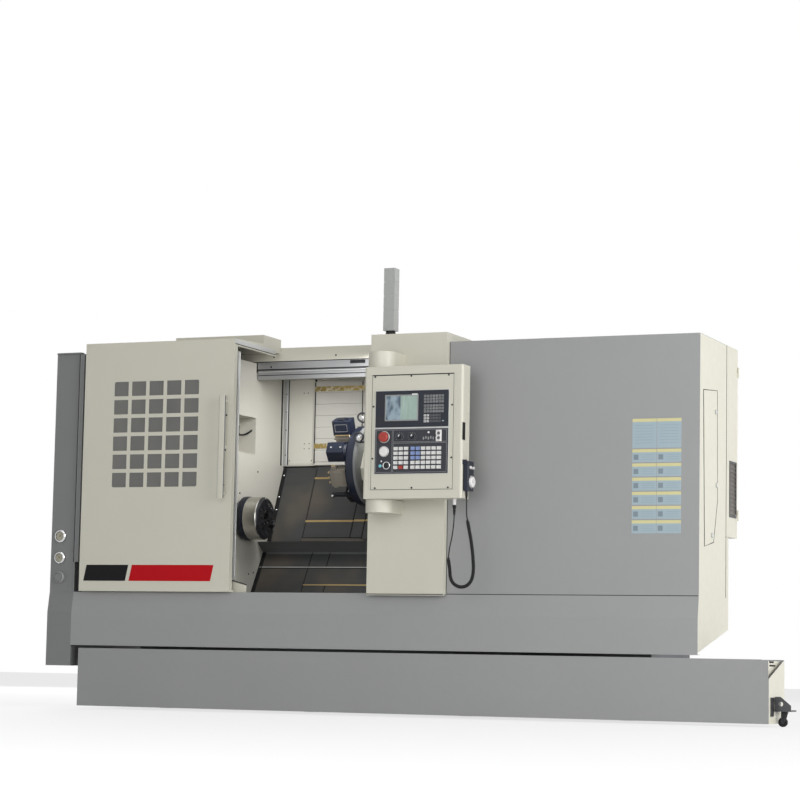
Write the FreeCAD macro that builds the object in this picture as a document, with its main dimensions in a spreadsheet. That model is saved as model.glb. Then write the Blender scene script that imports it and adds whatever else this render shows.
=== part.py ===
import FreeCAD, Part
import math
import os
import Sketcher

doc = FreeCAD.newDocument("turning_lathe")
sheet = doc.addObject("Spreadsheet::Sheet", "dims")
X_AXIS = FreeCAD.Vector(1, 0, 0)
Y_AXIS = FreeCAD.Vector(0, 1, 0)
Z_AXIS = FreeCAD.Vector(0, 0, 1)


class Length:
    """A size that knows its number and the sheet formula that gives it."""

    def __init__(self, text, number):
        self.text = text
        self.number = number

    def joined(self, sign, other, number):
        return Length("(%s %s %s)" % (self.text, sign, length(other).text), number)

    def __add__(self, other):
        return self.joined("+", other, self.number + length(other).number)

    def __sub__(self, other):
        return self.joined("-", other, self.number - length(other).number)

    def __mul__(self, other):
        return self.joined("*", other, self.number * length(other).number)

    def __truediv__(self, other):
        return self.joined("/", other, self.number / length(other).number)

    def __neg__(self):
        return Length("(0 - %s)" % self.text, -self.number)

    def __radd__(self, other):
        return length(other) + self

    def __rsub__(self, other):
        return length(other) - self

    def __rmul__(self, other):
        return length(other) * self


def length(value):
    if isinstance(value, Length):
        return value
    return Length(repr(float(value)), float(value))


def cosine(angle):
    return Length("cos(%s)" % length(angle).text, math.cos(math.radians(length(angle).number)))


def sine(angle):
    return Length("sin(%s)" % length(angle).text, math.sin(math.radians(length(angle).number)))


class Sizes:
    """The driving dimensions, each one a cell of the sheet with its alias."""

    def __init__(self):
        self.row = 0

    def add(self, **cells):
        for alias, number in cells.items():
            self.row += 1
            place = "B%d" % self.row
            sheet.set(place, str(number))
            sheet.setAlias(place, alias)
            setattr(self, alias, Length("dims." + alias, float(number)))


d = Sizes()
# Whole machine. X runs along the spindle, Y from the operator to the rear, Z up.
d.add(left_x=-2235, body_length=3992, front_y=-660, body_depth=1600, body_height=2100)
# Sheet metal, running gaps and the lean of the slant bed away from the upright
d.add(sheet_metal=3, run_gap=0.4, fit_gap=0.05, press_gap=0.05, lean=24)
# Spindle axis, behind the front plane and above the floor, and the swing radius over the covers
d.add(axis_back=450, axis_height=1140, swing=360)
# Lower guard: bottom edge, fold and sill
d.add(guard_bottom=370, guard_fold=565, guard_top=684, guard_step=20, sill_depth=55)
# Positions along the machine, from its left end
d.add(column_width=165, wall_at=1050, door_at=220, pillar_at=2075, pillar_width=465)
d.add(bed_at=260, bed_length=3270, bed_front=680, bed_rear=1450, bed_wall=45, foot_height=60)
# Door
d.add(door_width=990, door_thick=40, door_bottom=688, door_top=2158, door_rise=27, roof_reach=610)
d.add(pane_width=95, pane_height=86, pane_bar=22, window_at=200, window_bottom=1298, door_frame=25)
d.add(handle_at=938, handle_width=35, handle_thick=12, handle_stand=46, handle_low=1223, handle_high=1825)
# Beam and pillar
d.add(beam_y=600, beam_low=2100, beam_high=2180, rail_low=1991, pillar_top=2150, pillar_depth=140)
# Ceiling of the work area, its back wall behind the spindle axis, and the nozzle pocket about the axis
d.add(ceiling=2035, wall_top=2090, ceiling_gap=18, wall_back=550, pocket_back=-87, pocket_up=397)
# Slant bed: ways and covers, measured back from the spindle axis and up the slope
d.add(way_back=400, way_height=50, way_width=60, way_low=60, way_mid=200, way_high=480, ledge_up=31)
d.add(cover_top=545, lip_back=248, lip_up=-28, cover_thick=4)
# Headstock and spindle
d.add(spindle_radius=70, bore_radius=41, bearing_radius=105, head_length=735, chuck_radius=127)
d.add(chuck_thick=103, plate_thick=40, chuck_bore=37.5, jaw_width=32, jaw_height=30)
# Turret
d.add(turret_up=346, disc_radius=235, disc_thick=75, disc_at=1752, station_radius=20, station_pitch=185)
d.add(first_station=22.5, holder_long=128, hex_half=57)
# Carriage and tailstock
d.add(saddle_at=1750, saddle_length=500, saddle_low=50, saddle_high=545, saddle_back=330)
d.add(slide_back=215, screw_radius=20, screw_up=330, tail_at=3035, tail_length=350, quill_radius=50)
# Operator panel
d.add(panel_at=2140, panel_width=590, panel_low=1200, panel_high=1935, panel_front=-250, panel_thick=115)
d.add(pivot_x=-30, pivot_y=-150, barrel_radius=80, pin_radius=15, unit_at=73, unit_width=434)
# Tank and castor
d.add(cabinet_width=455, cabinet_depth=248, cabinet_low=1030, knuckle=5)
d.add(tank_length=4160, tank_low=16, tank_high=353, tank_depth=550, neck_depth=330, neck_length=685)
d.add(wheel_radius=25, wheel_width=18, castor_reach=45, castor_y=170)

axis_y = d.front_y + d.axis_back
axis_z = d.axis_height
right_x = d.left_x + d.body_length
wall_x = d.left_x + d.wall_at
bed_x = d.left_x + d.bed_at
pillar_x = d.left_x + d.pillar_at
pillar_end = pillar_x + d.pillar_width
door_x = d.left_x + d.door_at
tank_x = d.left_x + d.door_at
nodes = {}


def add(kind):
    return doc.addObject(kind, "piece")


def bind(thing, **properties):
    for name, value in properties.items():
        thing.setExpression(name.replace("__", "."), length(value).text)
    return thing


def place(thing, x, y, z):
    return bind(thing, Placement__Base__x=x, Placement__Base__y=y, Placement__Base__z=z)


def turn(thing, axis, angle):
    thing.Placement = FreeCAD.Placement(FreeCAD.Vector(), axis, 1)
    return bind(thing, Placement__Rotation__Angle=angle)


def block(x, y, z, dx, dy, dz):
    box = bind(add("Part::Box"), Length=dx, Width=dy, Height=dz)
    return place(box, x, y, z)


def rod(axis, x, y, z, radius, long):
    """A cylinder that starts at the point and runs along the named axis."""
    cylinder = bind(add("Part::Cylinder"), Radius=radius, Height=long)
    if axis == "X":
        turn(cylinder, Y_AXIS, 90)
    if axis == "Y":
        turn(cylinder, X_AXIS, -90)
    return place(cylinder, x, y, z)


def fuse(*pieces):
    whole = add("Part::MultiFuse")
    whole.Shapes = list(pieces)
    whole.Refine = True
    return whole


def cut(base, *tools):
    rest = add("Part::Cut")
    rest.Base = base
    rest.Tool = tools[0] if len(tools) == 1 else fuse(*tools)
    return rest


def group(*pieces):
    """Separate solids that are kept together as one node."""
    several = add("Part::Compound")
    several.Links = list(pieces)
    return several


def point_of(sketch, index, corner, x, y):
    for kind, value in (("DistanceX", x), ("DistanceY", y)):
        number = length(value).number
        place_in_list = sketch.addConstraint(Sketcher.Constraint(kind, -1, 1, index, corner, number))
        sketch.setExpression("Constraints[%d]" % place_in_list, length(value).text)


def draw_loop(sketch, points):
    first = sketch.GeometryCount
    count = len(points)
    spots = [FreeCAD.Vector(length(x).number, length(y).number, 0) for x, y in points]
    for i in range(count):
        sketch.addGeometry(Part.LineSegment(spots[i], spots[(i + 1) % count]), False)
    for i in range(count):
        joint = Sketcher.Constraint("Coincident", first + i, 2, first + (i + 1) % count, 1)
        sketch.addConstraint(joint)
    for i, (x, y) in enumerate(points):
        point_of(sketch, first + i, 1, x, y)


def draw_circle(sketch, x, y, radius):
    centre = FreeCAD.Vector(length(x).number, length(y).number, 0)
    index = sketch.addGeometry(Part.Circle(centre, Z_AXIS, length(radius).number), False)
    point_of(sketch, index, 3, x, y)
    size = sketch.addConstraint(Sketcher.Constraint("Radius", index, length(radius).number))
    sketch.setExpression("Constraints[%d]" % size, length(radius).text)


def new_sketch(body, plane, start=0):
    sketch = body.newObject("Sketcher::SketchObject", "sketch")
    support = [f for f in body.Origin.OriginFeatures if f.Role == plane + "_Plane"][0]
    sketch.AttachmentSupport = (support, "")
    sketch.MapMode = "FlatFace"
    sketch.setExpression("AttachmentOffset.Base.z", length(start).text)
    return sketch


def plate(plane, outline, start, depth, holes=()):
    """A profile pushed straight: plane YZ grows along +X, XY along +Z and XZ along -Y."""
    body = add("PartDesign::Body")
    sketch = new_sketch(body, plane, start)
    if isinstance(outline, tuple):
        draw_circle(sketch, *outline)
    else:
        draw_loop(sketch, outline)
    for hole in holes:
        draw_circle(sketch, *hole)
    pad = body.newObject("PartDesign::Pad", "pad")
    pad.Profile = sketch
    bind(pad, Length=depth)
    return body


def profile(outline, start, depth, holes=()):
    """A section seen from the right end, in Y behind the front plane and Z, run along X."""
    shifted = [(d.front_y + y, z) for y, z in outline]
    return plate("YZ", shifted, start, depth, holes)


def pocket(body, plane, outline, start, depth, back=False):
    """A cut into the body, along the plane's own normal or the other way."""
    sketch = new_sketch(body, plane, start)
    if isinstance(outline, tuple):
        draw_circle(sketch, *outline)
    else:
        draw_loop(sketch, outline)
    hole = body.newObject("PartDesign::Pocket", "pocket")
    hole.Profile = sketch
    hole.Reversed = not back
    bind(hole, Length=depth)
    return hole


def turned(axis, x, y, z, outline):
    """A section of (along, radius) points turned about the named axis through the point."""
    body = add("PartDesign::Body")
    sketch = new_sketch(body, "XY")
    draw_loop(sketch, outline)
    revolution = body.newObject("PartDesign::Revolution", "turning")
    revolution.Profile = sketch
    revolution.ReferenceAxis = (sketch, ["H_Axis"])
    revolution.Angle = 360
    if axis == "Y":
        turn(body, Z_AXIS, 90)
    if axis == "Z":
        turn(body, Y_AXIS, -90)
    return place(body, x, y, z)


def tube(axis, x, y, z, inner, outer, long):
    return turned(axis, x, y, z, [(0, inner), (long, inner), (long, outer), (0, outer)])


def soften(body, radius, chosen):
    """Rounds the edges of the body's last feature that the test picks."""
    doc.recompute()
    tip = body.Tip
    names = ["Edge%d" % (i + 1) for i, edge in enumerate(tip.Shape.Edges) if chosen(edge)]
    fillet = body.newObject("PartDesign::Fillet", "rounding")
    fillet.Base = (tip, names)
    bind(fillet, Radius=radius)
    body.Tip = fillet
    return body


def runs_along(axis):
    def chosen(edge):
        if not isinstance(edge.Curve, Part.Line):
            return False
        return abs(abs(edge.Curve.Direction.dot(axis)) - 1) < 1e-6
    return chosen


def slanted(thing):
    """Turns a piece from the slope's own frame (X, back, up) into the machine's."""
    turn(thing, X_AXIS, -d.lean)
    return place(thing, 0, axis_y, axis_z)


def on_slope(back, up):
    """The Y behind the front plane and the Z of a point of the slope's frame."""
    y = d.axis_back + back * cosine(d.lean) + up * sine(d.lean)
    z = axis_z - back * sine(d.lean) + up * cosine(d.lean)
    return (y, z)


def upper_end(back):
    """The height of the saddle's upper end at a distance behind the front plane."""
    y, z = on_slope(d.saddle_back, d.saddle_high)
    return z - (back - y) * sine(d.lean) / cosine(d.lean)


def node(label, piece):
    piece.Label = label
    nodes[label] = piece


# ---- bed and feet ----

def build_bed():
    seat = d.way_back + d.way_height
    inner = seat + d.bed_wall
    low = d.foot_height
    outline = [(d.bed_front, low), (d.bed_front, 640), on_slope(seat, -60), on_slope(seat, 560),
               on_slope(seat + 110, 560), (d.bed_rear, 900), (d.bed_rear, low)]
    casting = profile(outline, bed_x, d.bed_length)
    wall = d.bed_wall
    hollow = [(d.bed_front + wall, low + wall), (d.bed_front + wall, 620), on_slope(inner, -50),
              on_slope(inner, 490), on_slope(inner + 20, 490), (d.bed_rear - wall, 880),
              (d.bed_rear - wall, low + wall)]
    shifted = [(d.front_y + y, z) for y, z in hollow]
    bays = 4
    bay = (d.bed_length - wall * (bays + 1)) / bays
    for i in range(bays):
        pocket(casting, "YZ", shifted, bed_x + wall + (bay + wall) * i, bay)
    ways_x = wall_x + 40
    ways_end = bed_x + d.bed_length - 20
    pieces = [casting]
    for up in (d.way_low, d.way_mid, d.way_high):
        way = block(ways_x, d.way_back, up, ways_end - ways_x, d.way_height + 2, d.way_width)
        pieces.append(slanted_piece(way))
    for x in (ways_x + 10, ways_end - 90):
        support = block(x, d.way_back + 1, d.screw_up - 35, 30, d.way_height + 1, 70)
        hole = rod("X", x - 1, d.way_back + 25, d.screw_up, d.screw_radius + d.fit_gap, 32)
        pieces.append(slanted_piece(cut(support, hole)))
    node("bed", fuse(*pieces))


def slanted_piece(piece):
    """The same turn for a piece whose own place is already set: it is wrapped first."""
    return slanted(group(piece))


def build_feet():
    feet = []
    for x in (bed_x + 160, bed_x + 1140, bed_x + 2130, bed_x + d.bed_length - 160):
        for y in (d.bed_front + 90, d.bed_rear - 90):
            outline = [(0, 0), (0, 55), (14, 55), (20, 42), (20, 18), (d.foot_height, 18),
                       (d.foot_height, 0)]
            feet.append(turned("Z", x, d.front_y + y, 0, outline))
    node("levelling_feet", group(*feet))


# ---- headstock, spindle and drive ----

head_x = wall_x - 30 - d.head_length
nose_x = wall_x + 20
plate_end = nose_x + d.plate_thick
chuck_face = plate_end + d.chuck_thick
motor_y = 390
motor_z = 640


def build_headstock():
    seat = d.way_back + d.way_height
    outline = [(seat, -60), (seat, 330), (300, 300), (120, 205), (-110, 205), (-205, 110),
               (-205, -110), (-110, -205), (120, -205), (300, -120)]
    casting = plate("YZ", outline, head_x, d.head_length, [(0, 0, d.bearing_radius)])
    node("headstock", slanted(casting))
    rings = []
    for x in (head_x + 10, head_x + d.head_length - 110):
        outer = d.bearing_radius - d.press_gap
        rings.append(tube("X", x, axis_y, axis_z, d.spindle_radius + d.fit_gap, outer, 100))
    node("spindle_bearings", group(*rings))


def build_spindle():
    rear = head_x - 150
    rear_step = head_x - 20 - rear
    nose_step = head_x + d.head_length + 6 - rear
    long = nose_x - rear
    outline = [(0, d.bore_radius), (long, d.bore_radius), (long, 104), (nose_step, 104),
               (nose_step, d.spindle_radius), (rear_step, d.spindle_radius), (rear_step, 60), (0, 60)]
    node("spindle", turned("X", rear, axis_y, axis_z, outline))
    node("spindle_pulley", turned("X", head_x - 125, axis_y, axis_z, grooved(60, 128, 90)))


def grooved(bore, radius, width):
    """A belt pulley's section with its vee grooves."""
    grooves = 4
    pitch = (width - 12) / grooves
    points = [(0, bore), (width, bore), (width, radius + 6), (width - 6, radius + 6)]
    for i in range(grooves):
        x = width - 6 - pitch * i
        points += [(x, radius), (x - pitch * 0.5, radius - 7)]
    points += [(6, radius), (6, radius + 6), (0, radius + 6)]
    return points


def build_drive():
    y = d.front_y + motor_y
    wide = 300
    body = block(head_x, y - wide / 2, motor_z - wide / 2, 420, wide, wide)
    flange = block(head_x - 20, y - wide / 2 - 15, motor_z - wide / 2 - 15, 20, wide + 30, wide + 30)
    end_cap = rod("X", head_x + 420, y, motor_z, 130, 40)
    mount_y = y + wide / 2
    mount = block(head_x + 40, mount_y - 2, motor_z - 120, 300, d.front_y + d.bed_front - mount_y + 2, 24)
    rib = block(head_x + 180, mount_y - 2, motor_z - 100, 24, d.front_y + d.bed_front - mount_y + 2, 90)
    shaft = rod("X", head_x - 24, y, motor_z, 60, 6)
    bore = rod("X", head_x - 30, y, motor_z, 24 + d.fit_gap, 80)
    node("spindle_motor", cut(fuse(body, flange, end_cap, mount, rib, shaft), bore))
    pulley = turned("X", head_x - 125, y, motor_z, grooved(0, 84, 90))
    stub = rod("X", head_x - 36, y, motor_z, 24, 80)
    node("motor_pulley", fuse(pulley, stub))
    build_belt()


def build_belt():
    """The belt's loop: two arcs about the pulleys joined by their outer tangents."""
    inner_gap = 0.6
    thick = 9
    top = FreeCAD.Vector(0, axis_y.number, axis_z.number)
    low = FreeCAD.Vector(0, d.front_y.number + motor_y, motor_z)
    wires = []
    for extra in (inner_gap, inner_gap + thick):
        big = 128 + extra
        small = 84 + extra
        across = low - top
        lean = math.acos((big - small) / across.Length)
        base = math.atan2(across.z, across.y)
        spots = []
        for side in (1, -1):
            angle = base + side * lean
            ray = FreeCAD.Vector(0, math.cos(angle), math.sin(angle))
            spots.append((top + ray * big, low + ray * small))
        up = across * (-1 / across.Length)
        over = Part.Arc(spots[0][0], top + up * big, spots[1][0]).toShape()
        under = Part.Arc(spots[1][1], low - up * small, spots[0][1]).toShape()
        runs = [Part.makeLine(a, b) for a, b in spots]
        wires.append(Part.Wire(Part.sortEdges([over, runs[1], under, runs[0]])[0]))
    loop = Part.Face(wires[1]).cut(Part.Face(wires[0]))
    belt = add("Part::Feature")
    belt.Shape = loop.extrude(FreeCAD.Vector(76, 0, 0))
    belt.Placement = FreeCAD.Placement(FreeCAD.Vector(head_x.number - 118, 0, 0), FreeCAD.Rotation())
    node("drive_belt", belt)


def build_chuck():
    back = turned("X", nose_x, axis_y, axis_z,
                  [(0, d.bore_radius), (d.plate_thick, d.bore_radius), (d.plate_thick, 120),
                   (d.plate_thick - 4, d.chuck_radius + 3), (6, d.chuck_radius + 3), (0, d.chuck_radius - 3)])
    node("chuck_backplate", back)
    thick = d.chuck_thick
    outline = [(0, d.chuck_bore), (thick, d.chuck_bore), (thick, d.chuck_radius - 14),
               (thick - 5, d.chuck_radius - 6), (thick - 18, d.chuck_radius), (4, d.chuck_radius),
               (0, d.chuck_radius - 4)]
    body = turned("X", 0, 0, 0, outline)
    slots = []
    for i in range(3):
        slot = block(thick - 16, -d.jaw_width / 2, 30, 30, d.jaw_width, d.chuck_radius)
        slots.append(turn(group(slot), X_AXIS, 120 * i))
    node("chuck_body", place(group(cut(body, *slots)), plate_end, axis_y, axis_z))
    for i in range(3):
        width = d.jaw_width - 2 * d.fit_gap
        foot = thick - 16 + d.fit_gap
        top = thick + d.jaw_height
        side = [(foot, 48), (foot, 114), (thick + 1, 114)]
        for tooth in range(4):
            side += [(thick + 4, 111 - 6 * tooth), (thick + 1, 108 - 6 * tooth)]
        master = plate("XZ", side + [(thick + 4, 87), (thick + 4, 48)], -width / 2, width)
        hard = [(thick + 2, 54), (thick + 6, 46), (top - 4, 46), (top, 50), (top, 66), (thick + 18, 66),
                (thick + 18, 78), (thick + 10, 86), (thick + 2, 86)]
        step = plate("XZ", hard, -width / 2, width)
        jaw = turn(group(fuse(master, step)), X_AXIS, 120 * i)
        node("chuck_jaw_%d" % (i + 1), place(jaw, plate_end, axis_y, axis_z))


# ---- carriage, turret and tailstock ----

saddle_x = d.left_x + d.saddle_at
disc_x = d.left_x + d.disc_at
turret_y = axis_y + d.turret_up * sine(d.lean)
turret_z = axis_z + d.turret_up * cosine(d.lean)


def build_carriage():
    rise = d.saddle_high - d.saddle_low
    deep = d.way_back - d.fit_gap - d.saddle_back
    base = block(saddle_x, d.saddle_back, d.saddle_low, d.saddle_length, deep, rise)
    ways = []
    for x in (saddle_x + 60, saddle_x + d.saddle_length - 110):
        ways.append(block(x, d.saddle_back - 30, d.saddle_low, 50, 31, rise))
    nut = block(saddle_x + 190, d.way_back - 2, d.screw_up - 30, 120, d.way_height - 6, 60)
    hole = rod("X", saddle_x + 180, d.way_back + 25, d.screw_up, d.screw_radius + d.fit_gap, 140)
    node("saddle", slanted_piece(cut(fuse(base, nut, *ways), hole)))
    screw_x = wall_x + 45
    screw_long = bed_x + d.bed_length - 60 - screw_x
    screw = rod("X", screw_x, d.way_back + 25, d.screw_up, d.screw_radius, screw_long)
    node("z_screw", slanted_piece(screw))
    shield_x = wall_x + 235
    shield_back = d.swing - 6
    low = d.ledge_up + 5
    shield = block(shield_x, shield_back, low, saddle_x - shield_x, 4, d.cover_top - low)
    steps = []
    for i, x in enumerate((saddle_x - 140, saddle_x - 60)):
        steps.append(block(x, shield_back - 5 * (i + 1), low, saddle_x - x, 5, d.cover_top - low - 10))
    node("way_shield", slanted_piece(fuse(shield, *steps)))


def build_back_shield():
    """An upright shield of lapped sheets that stands on the saddle's upper end."""
    front = d.axis_back + d.wall_back - 25
    front_foot = upper_end(front + 5) + d.press_gap
    rear_foot = upper_end(front + 15) + d.press_gap
    low = front_foot + 17
    sheets = 7
    lap = 4
    pitch = (d.ceiling - d.ceiling_gap - low) / sheets
    points = [(front + 5, front_foot)]
    for i in range(sheets):
        z = low + pitch * i
        points += [(front + 5, z), (front + 1, z + lap), (front, z + pitch - lap), (front + 5, z + pitch - lap)]
    points += [(front + 5, low + pitch * sheets), (front + 15, low + pitch * sheets), (front + 15, rear_foot)]
    node("back_shield", profile(points, wall_x + 215, 640))


def build_turret():
    slide_low = 210
    slide_deep = d.saddle_back - 30 - d.fit_gap - d.slide_back
    slide_x = disc_x + d.disc_thick + 10
    base = block(slide_x, d.slide_back, slide_low, 370, slide_deep, 310)
    node("cross_slide", slanted_piece(base))
    half = 140
    up = d.turret_up
    outline = [(d.slide_back, up - half), (d.slide_back, up + half), (-90, up + half),
               (-half, up + half - 50), (-half, up - half + 50), (-90, up - half)]
    case = plate("YZ", outline, disc_x + d.disc_thick, 330)
    motor = rod("X", disc_x + d.disc_thick + 329, 0, up, 70, 110)
    socket = rod("X", disc_x + d.disc_thick - 1, 0, up, 60 + d.fit_gap, 41)
    node("turret_housing", slanted_piece(cut(fuse(case, motor), socket)))
    thick = d.disc_thick
    rim = d.disc_radius
    disc = turned("X", 0, 0, 0, [(0, 0), (0, rim - 12), (12, rim), (thick - 8, rim), (thick, rim - 8),
                                 (thick, 60), (thick + 38, 60), (thick + 38, 0)])
    holes = []
    for i in range(8):
        angle = d.first_station + 45 * i
        y = d.station_pitch * cosine(angle)
        z = d.station_pitch * sine(angle)
        holes.append(rod("X", -1, y, z, d.station_radius, 64))
    node("turret_disc", place(group(cut(disc, *holes)), disc_x, turret_y, turret_z))
    build_holders()


def build_holders():
    """Holders at six stations: their shanks fill the bores and their blocks rest on the disc."""
    makers = {1: clamp_holder, 2: radial_holder, 3: socket_holder, 4: face_holder, 5: bar_holder,
              7: socket_holder}
    holders = []
    for station, maker in makers.items():
        shank = rod("X", -1, d.station_pitch, 0, d.station_radius - d.press_gap, 60)
        holder = turn(group(fuse(shank, *maker())), X_AXIS, d.first_station + 45 * station)
        holders.append(place(group(holder), disc_x, turret_y, turret_z))
    node("tool_holders", group(*holders))


def clamp_holder():
    """A square shank in a small block with a tapered clamping wedge."""
    r = d.station_pitch
    side = [(-60, r - 38), (0, r - 38), (0, r + 34), (-8, r + 38), (-52, r + 38), (-60, r + 30)]
    base = plate("XY", side, -34, 68)
    wedge = plate("XY", [(-34, r + 37), (-14, r + 37), (-18, r + 46), (-30, r + 46)], -20, 40)
    shank = block(-88, r + 6, -12, 60, 24, 24)
    return [base, wedge, shank]


def radial_holder():
    """A flanged foot on the disc that carries a rounded tool block beyond the rim."""
    r = d.station_pitch
    long = d.holder_long
    foot = plate("XY", [(-long + 22, r - 50), (0, r - 50), (0, r + 18), (-long + 10, r + 18)], -44, 88)
    lip = block(-long + 6, r - 8, -46, long - 20, 8, 92)
    head = plate("XY", [(-long, r + 17), (-10, r + 17), (-10, r + 104), (-long, r + 104)], -45, 90)
    soften(head, 16, runs_along(Y_AXIS))
    seat = block(-long + 24, r + 96, -24, 66, 14, 48)
    return [foot, lip, cut(head, seat)]


def socket_holder():
    """A six-sided socket for a boring bar, with its bore open to the chuck."""
    r = d.station_pitch
    half = d.hex_half
    corners = []
    for i in range(6):
        angle = 60 * i + 30
        corners.append((r + half * 1.1547 * cosine(angle), half * 1.1547 * sine(angle)))
    body = plate("YZ", corners, -118, 104)
    collar = turned("X", 0, 0, 0, [(-16, 0), (-16, 50), (0, 44), (0, 0)])
    nose = turned("X", 0, 0, 0, [(-126, 0), (-126, 34), (-117, 46), (-117, 0)])
    bore = rod("X", -130, r, 0, 16, 100)
    return [cut(fuse(body, place(collar, 0, r, 0), place(nose, 0, r, 0)), bore)]


def face_holder():
    """A deep block with a slot for a square tool, its clamping bar and screws."""
    r = d.station_pitch
    side = [(-96, r - 42), (0, r - 42), (0, r + 40), (-10, r + 46), (-88, r + 46), (-96, r + 38)]
    body = plate("XY", side, -50, 100)
    slot = block(-80, r + 22, -60, 28, 30, 120)
    tool = block(-79, r + 23, -70, 26, 22, 128)
    screws = []
    for z in (-30, 0, 30):
        screws.append(rod("X", -103, r + 32, z, 7, 30))
    foot = block(-104, r - 46, 40, 90, 24, 12)
    return [cut(body, slot), tool, foot] + screws


def bar_holder():
    """A low flanged block that holds a hooked boring bar across the disc."""
    r = d.station_pitch
    base = plate("XY", [(-44, r - 36), (0, r - 36), (0, r + 36), (-34, r + 36), (-44, r + 26)], -36, 72)
    bar = turned("X", 0, 0, 0, [(-128, 0), (-128, 13), (-122, 15), (-40, 15), (-40, 0)])
    hook = plate("XY", [(-142, r - 8), (-122, r - 14), (-122, r + 12), (-136, r + 18), (-144, r + 12)], -7, 14)
    return [base, place(bar, 0, r, 0), hook]


def build_tailstock():
    x = d.left_x + d.tail_at
    long = d.tail_length
    barrel = [(240, -95), (240, 140), (-40, 140), (-95, 90), (-95, -60), (-60, -95)]
    head = soften(plate("YZ", barrel, x, long), 16, runs_along(X_AXIS))
    foot_deep = d.way_back - d.fit_gap - 240
    foot_high = d.way_mid + d.way_width - d.way_low + 25
    foot = block(x - 20, 240, d.way_low - 15, long + 40, foot_deep, foot_high)
    bore = rod("X", x - 20, 0, 0, d.quill_radius, long + 50)
    collar = turned("X", x - 14, 0, 0, [(0, 0), (0, 70), (6, 76), (16, 76), (16, 0)])
    end_cap = turned("X", x + long - 1, 0, 0, [(0, 0), (0, 80), (14, 80), (20, 74), (20, 0)])
    clamps = []
    for clamp_x in (x + 60, x + long - 110):
        clamps.append(turned("X", clamp_x, 150, 120, [(0, 0), (0, 22), (50, 22), (50, 0)]))
    body = fuse(head, foot, collar, end_cap, *clamps)
    node("tailstock", slanted_piece(cut(body, bore)))
    radius = d.quill_radius - d.fit_gap
    outline = [(0, 22), (110, 16), (110, 0), (360, 0), (360, radius), (3, radius), (0, radius - 3)]
    node("tailstock_quill", turned("X", x - 60, axis_y, axis_z, outline))


# ---- covers ----

def build_slant_covers():
    thick = d.cover_thick
    top_back = d.swing + 8
    low = [(top_back, d.ledge_up), (d.lip_back, d.lip_up), (347, -50), (306, -338), (306 + thick, -338),
           (347 + thick, -50), (top_back + thick, d.ledge_up)]
    lower = plate("YZ", low, wall_x, d.bed_length - 827)
    upper = block(wall_x, top_back, d.ledge_up, 475, thick, d.cover_top - d.ledge_up)
    node("slant_cover", slanted_piece(fuse(lower, upper)))


def build_lining():
    """The work area's lining: left wall with its nozzle pocket, back wall, ceiling and right wall."""
    thick = d.cover_thick
    edge = d.swing + 8
    clear = 1
    back_y = d.axis_back + d.wall_back
    wall_low = upper_end(back_y) + 6
    outline = [(64, d.guard_top + 4), (560, d.guard_top + 4), on_slope(306 - clear, -338),
               on_slope(347 - clear, -50), on_slope(d.lip_back - clear, d.lip_up - clear),
               on_slope(edge - clear, d.ledge_up + clear), on_slope(edge - clear, d.cover_top),
               (back_y, wall_low), (back_y, d.ceiling), (64, d.ceiling)]
    shifted = [(d.front_y + y, z) for y, z in outline]
    hole = (axis_y, axis_z, 108)
    tall = shifted[:-1]
    beam_front = d.front_y + d.beam_y - 4
    tall += [(beam_front, d.ceiling), (beam_front, d.wall_top), (shifted[-1][0], d.wall_top)]
    left = plate("YZ", tall, wall_x - thick, thick, [hole])
    mouth_y = axis_y + d.pocket_back
    mouth_z = axis_z + d.pocket_up
    mouth = [(mouth_y, mouth_z), (mouth_y + 240, mouth_z), (mouth_y + 240, mouth_z + 220),
             (mouth_y, mouth_z + 220)]
    pocket(left, "YZ", mouth, wall_x - thick - 1, 10)
    shell = block(wall_x - 120, mouth_y - 3, mouth_z - 3, 120, 246, 226)
    room = block(wall_x - 117, mouth_y, mouth_z, 140, 240, 220)
    right_wall = wall_x + d.bed_length - 823
    right = plate("YZ", shifted, right_wall, thick)
    span = right_wall - wall_x + thick * 2
    back = block(wall_x - thick, d.front_y + back_y, wall_low, span, thick, d.ceiling + thick - wall_low)
    ceiling = block(wall_x - thick, d.front_y + 640, d.ceiling, span, back_y + thick - 640, thick)
    node("work_lining", fuse(left, cut(shell, room), right, back, ceiling))


def build_guard():
    skin = d.sheet_metal
    depth = d.guard_step + d.sill_depth
    outline = [(0, d.guard_bottom), (0, d.guard_fold), (d.guard_step, d.guard_top), (depth, d.guard_top),
               (depth, d.guard_top - skin), (d.guard_step + 2, d.guard_top - skin), (skin, d.guard_fold),
               (skin, d.guard_bottom + skin), (40, d.guard_bottom + skin), (40, d.guard_bottom)]
    start = d.left_x + d.column_width
    corner = block(right_x - skin, d.front_y + d.guard_step + 2, d.guard_fold, skin + 1, depth, d.guard_top)
    front = cut(profile(outline, start, right_x - start), corner)
    rail = block(start + 10, d.front_y + 28, d.guard_top - 1, pillar_x - start - 14, 10,
                 d.door_bottom - d.guard_top + 1 - d.run_gap)
    apron = profile([(depth, d.guard_top), (depth, d.guard_top - 4), (326, 420), (330, 420), (330, 424)],
                    wall_x, d.bed_length - 827)
    node("lower_guard", fuse(front, rail, apron))


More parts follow.
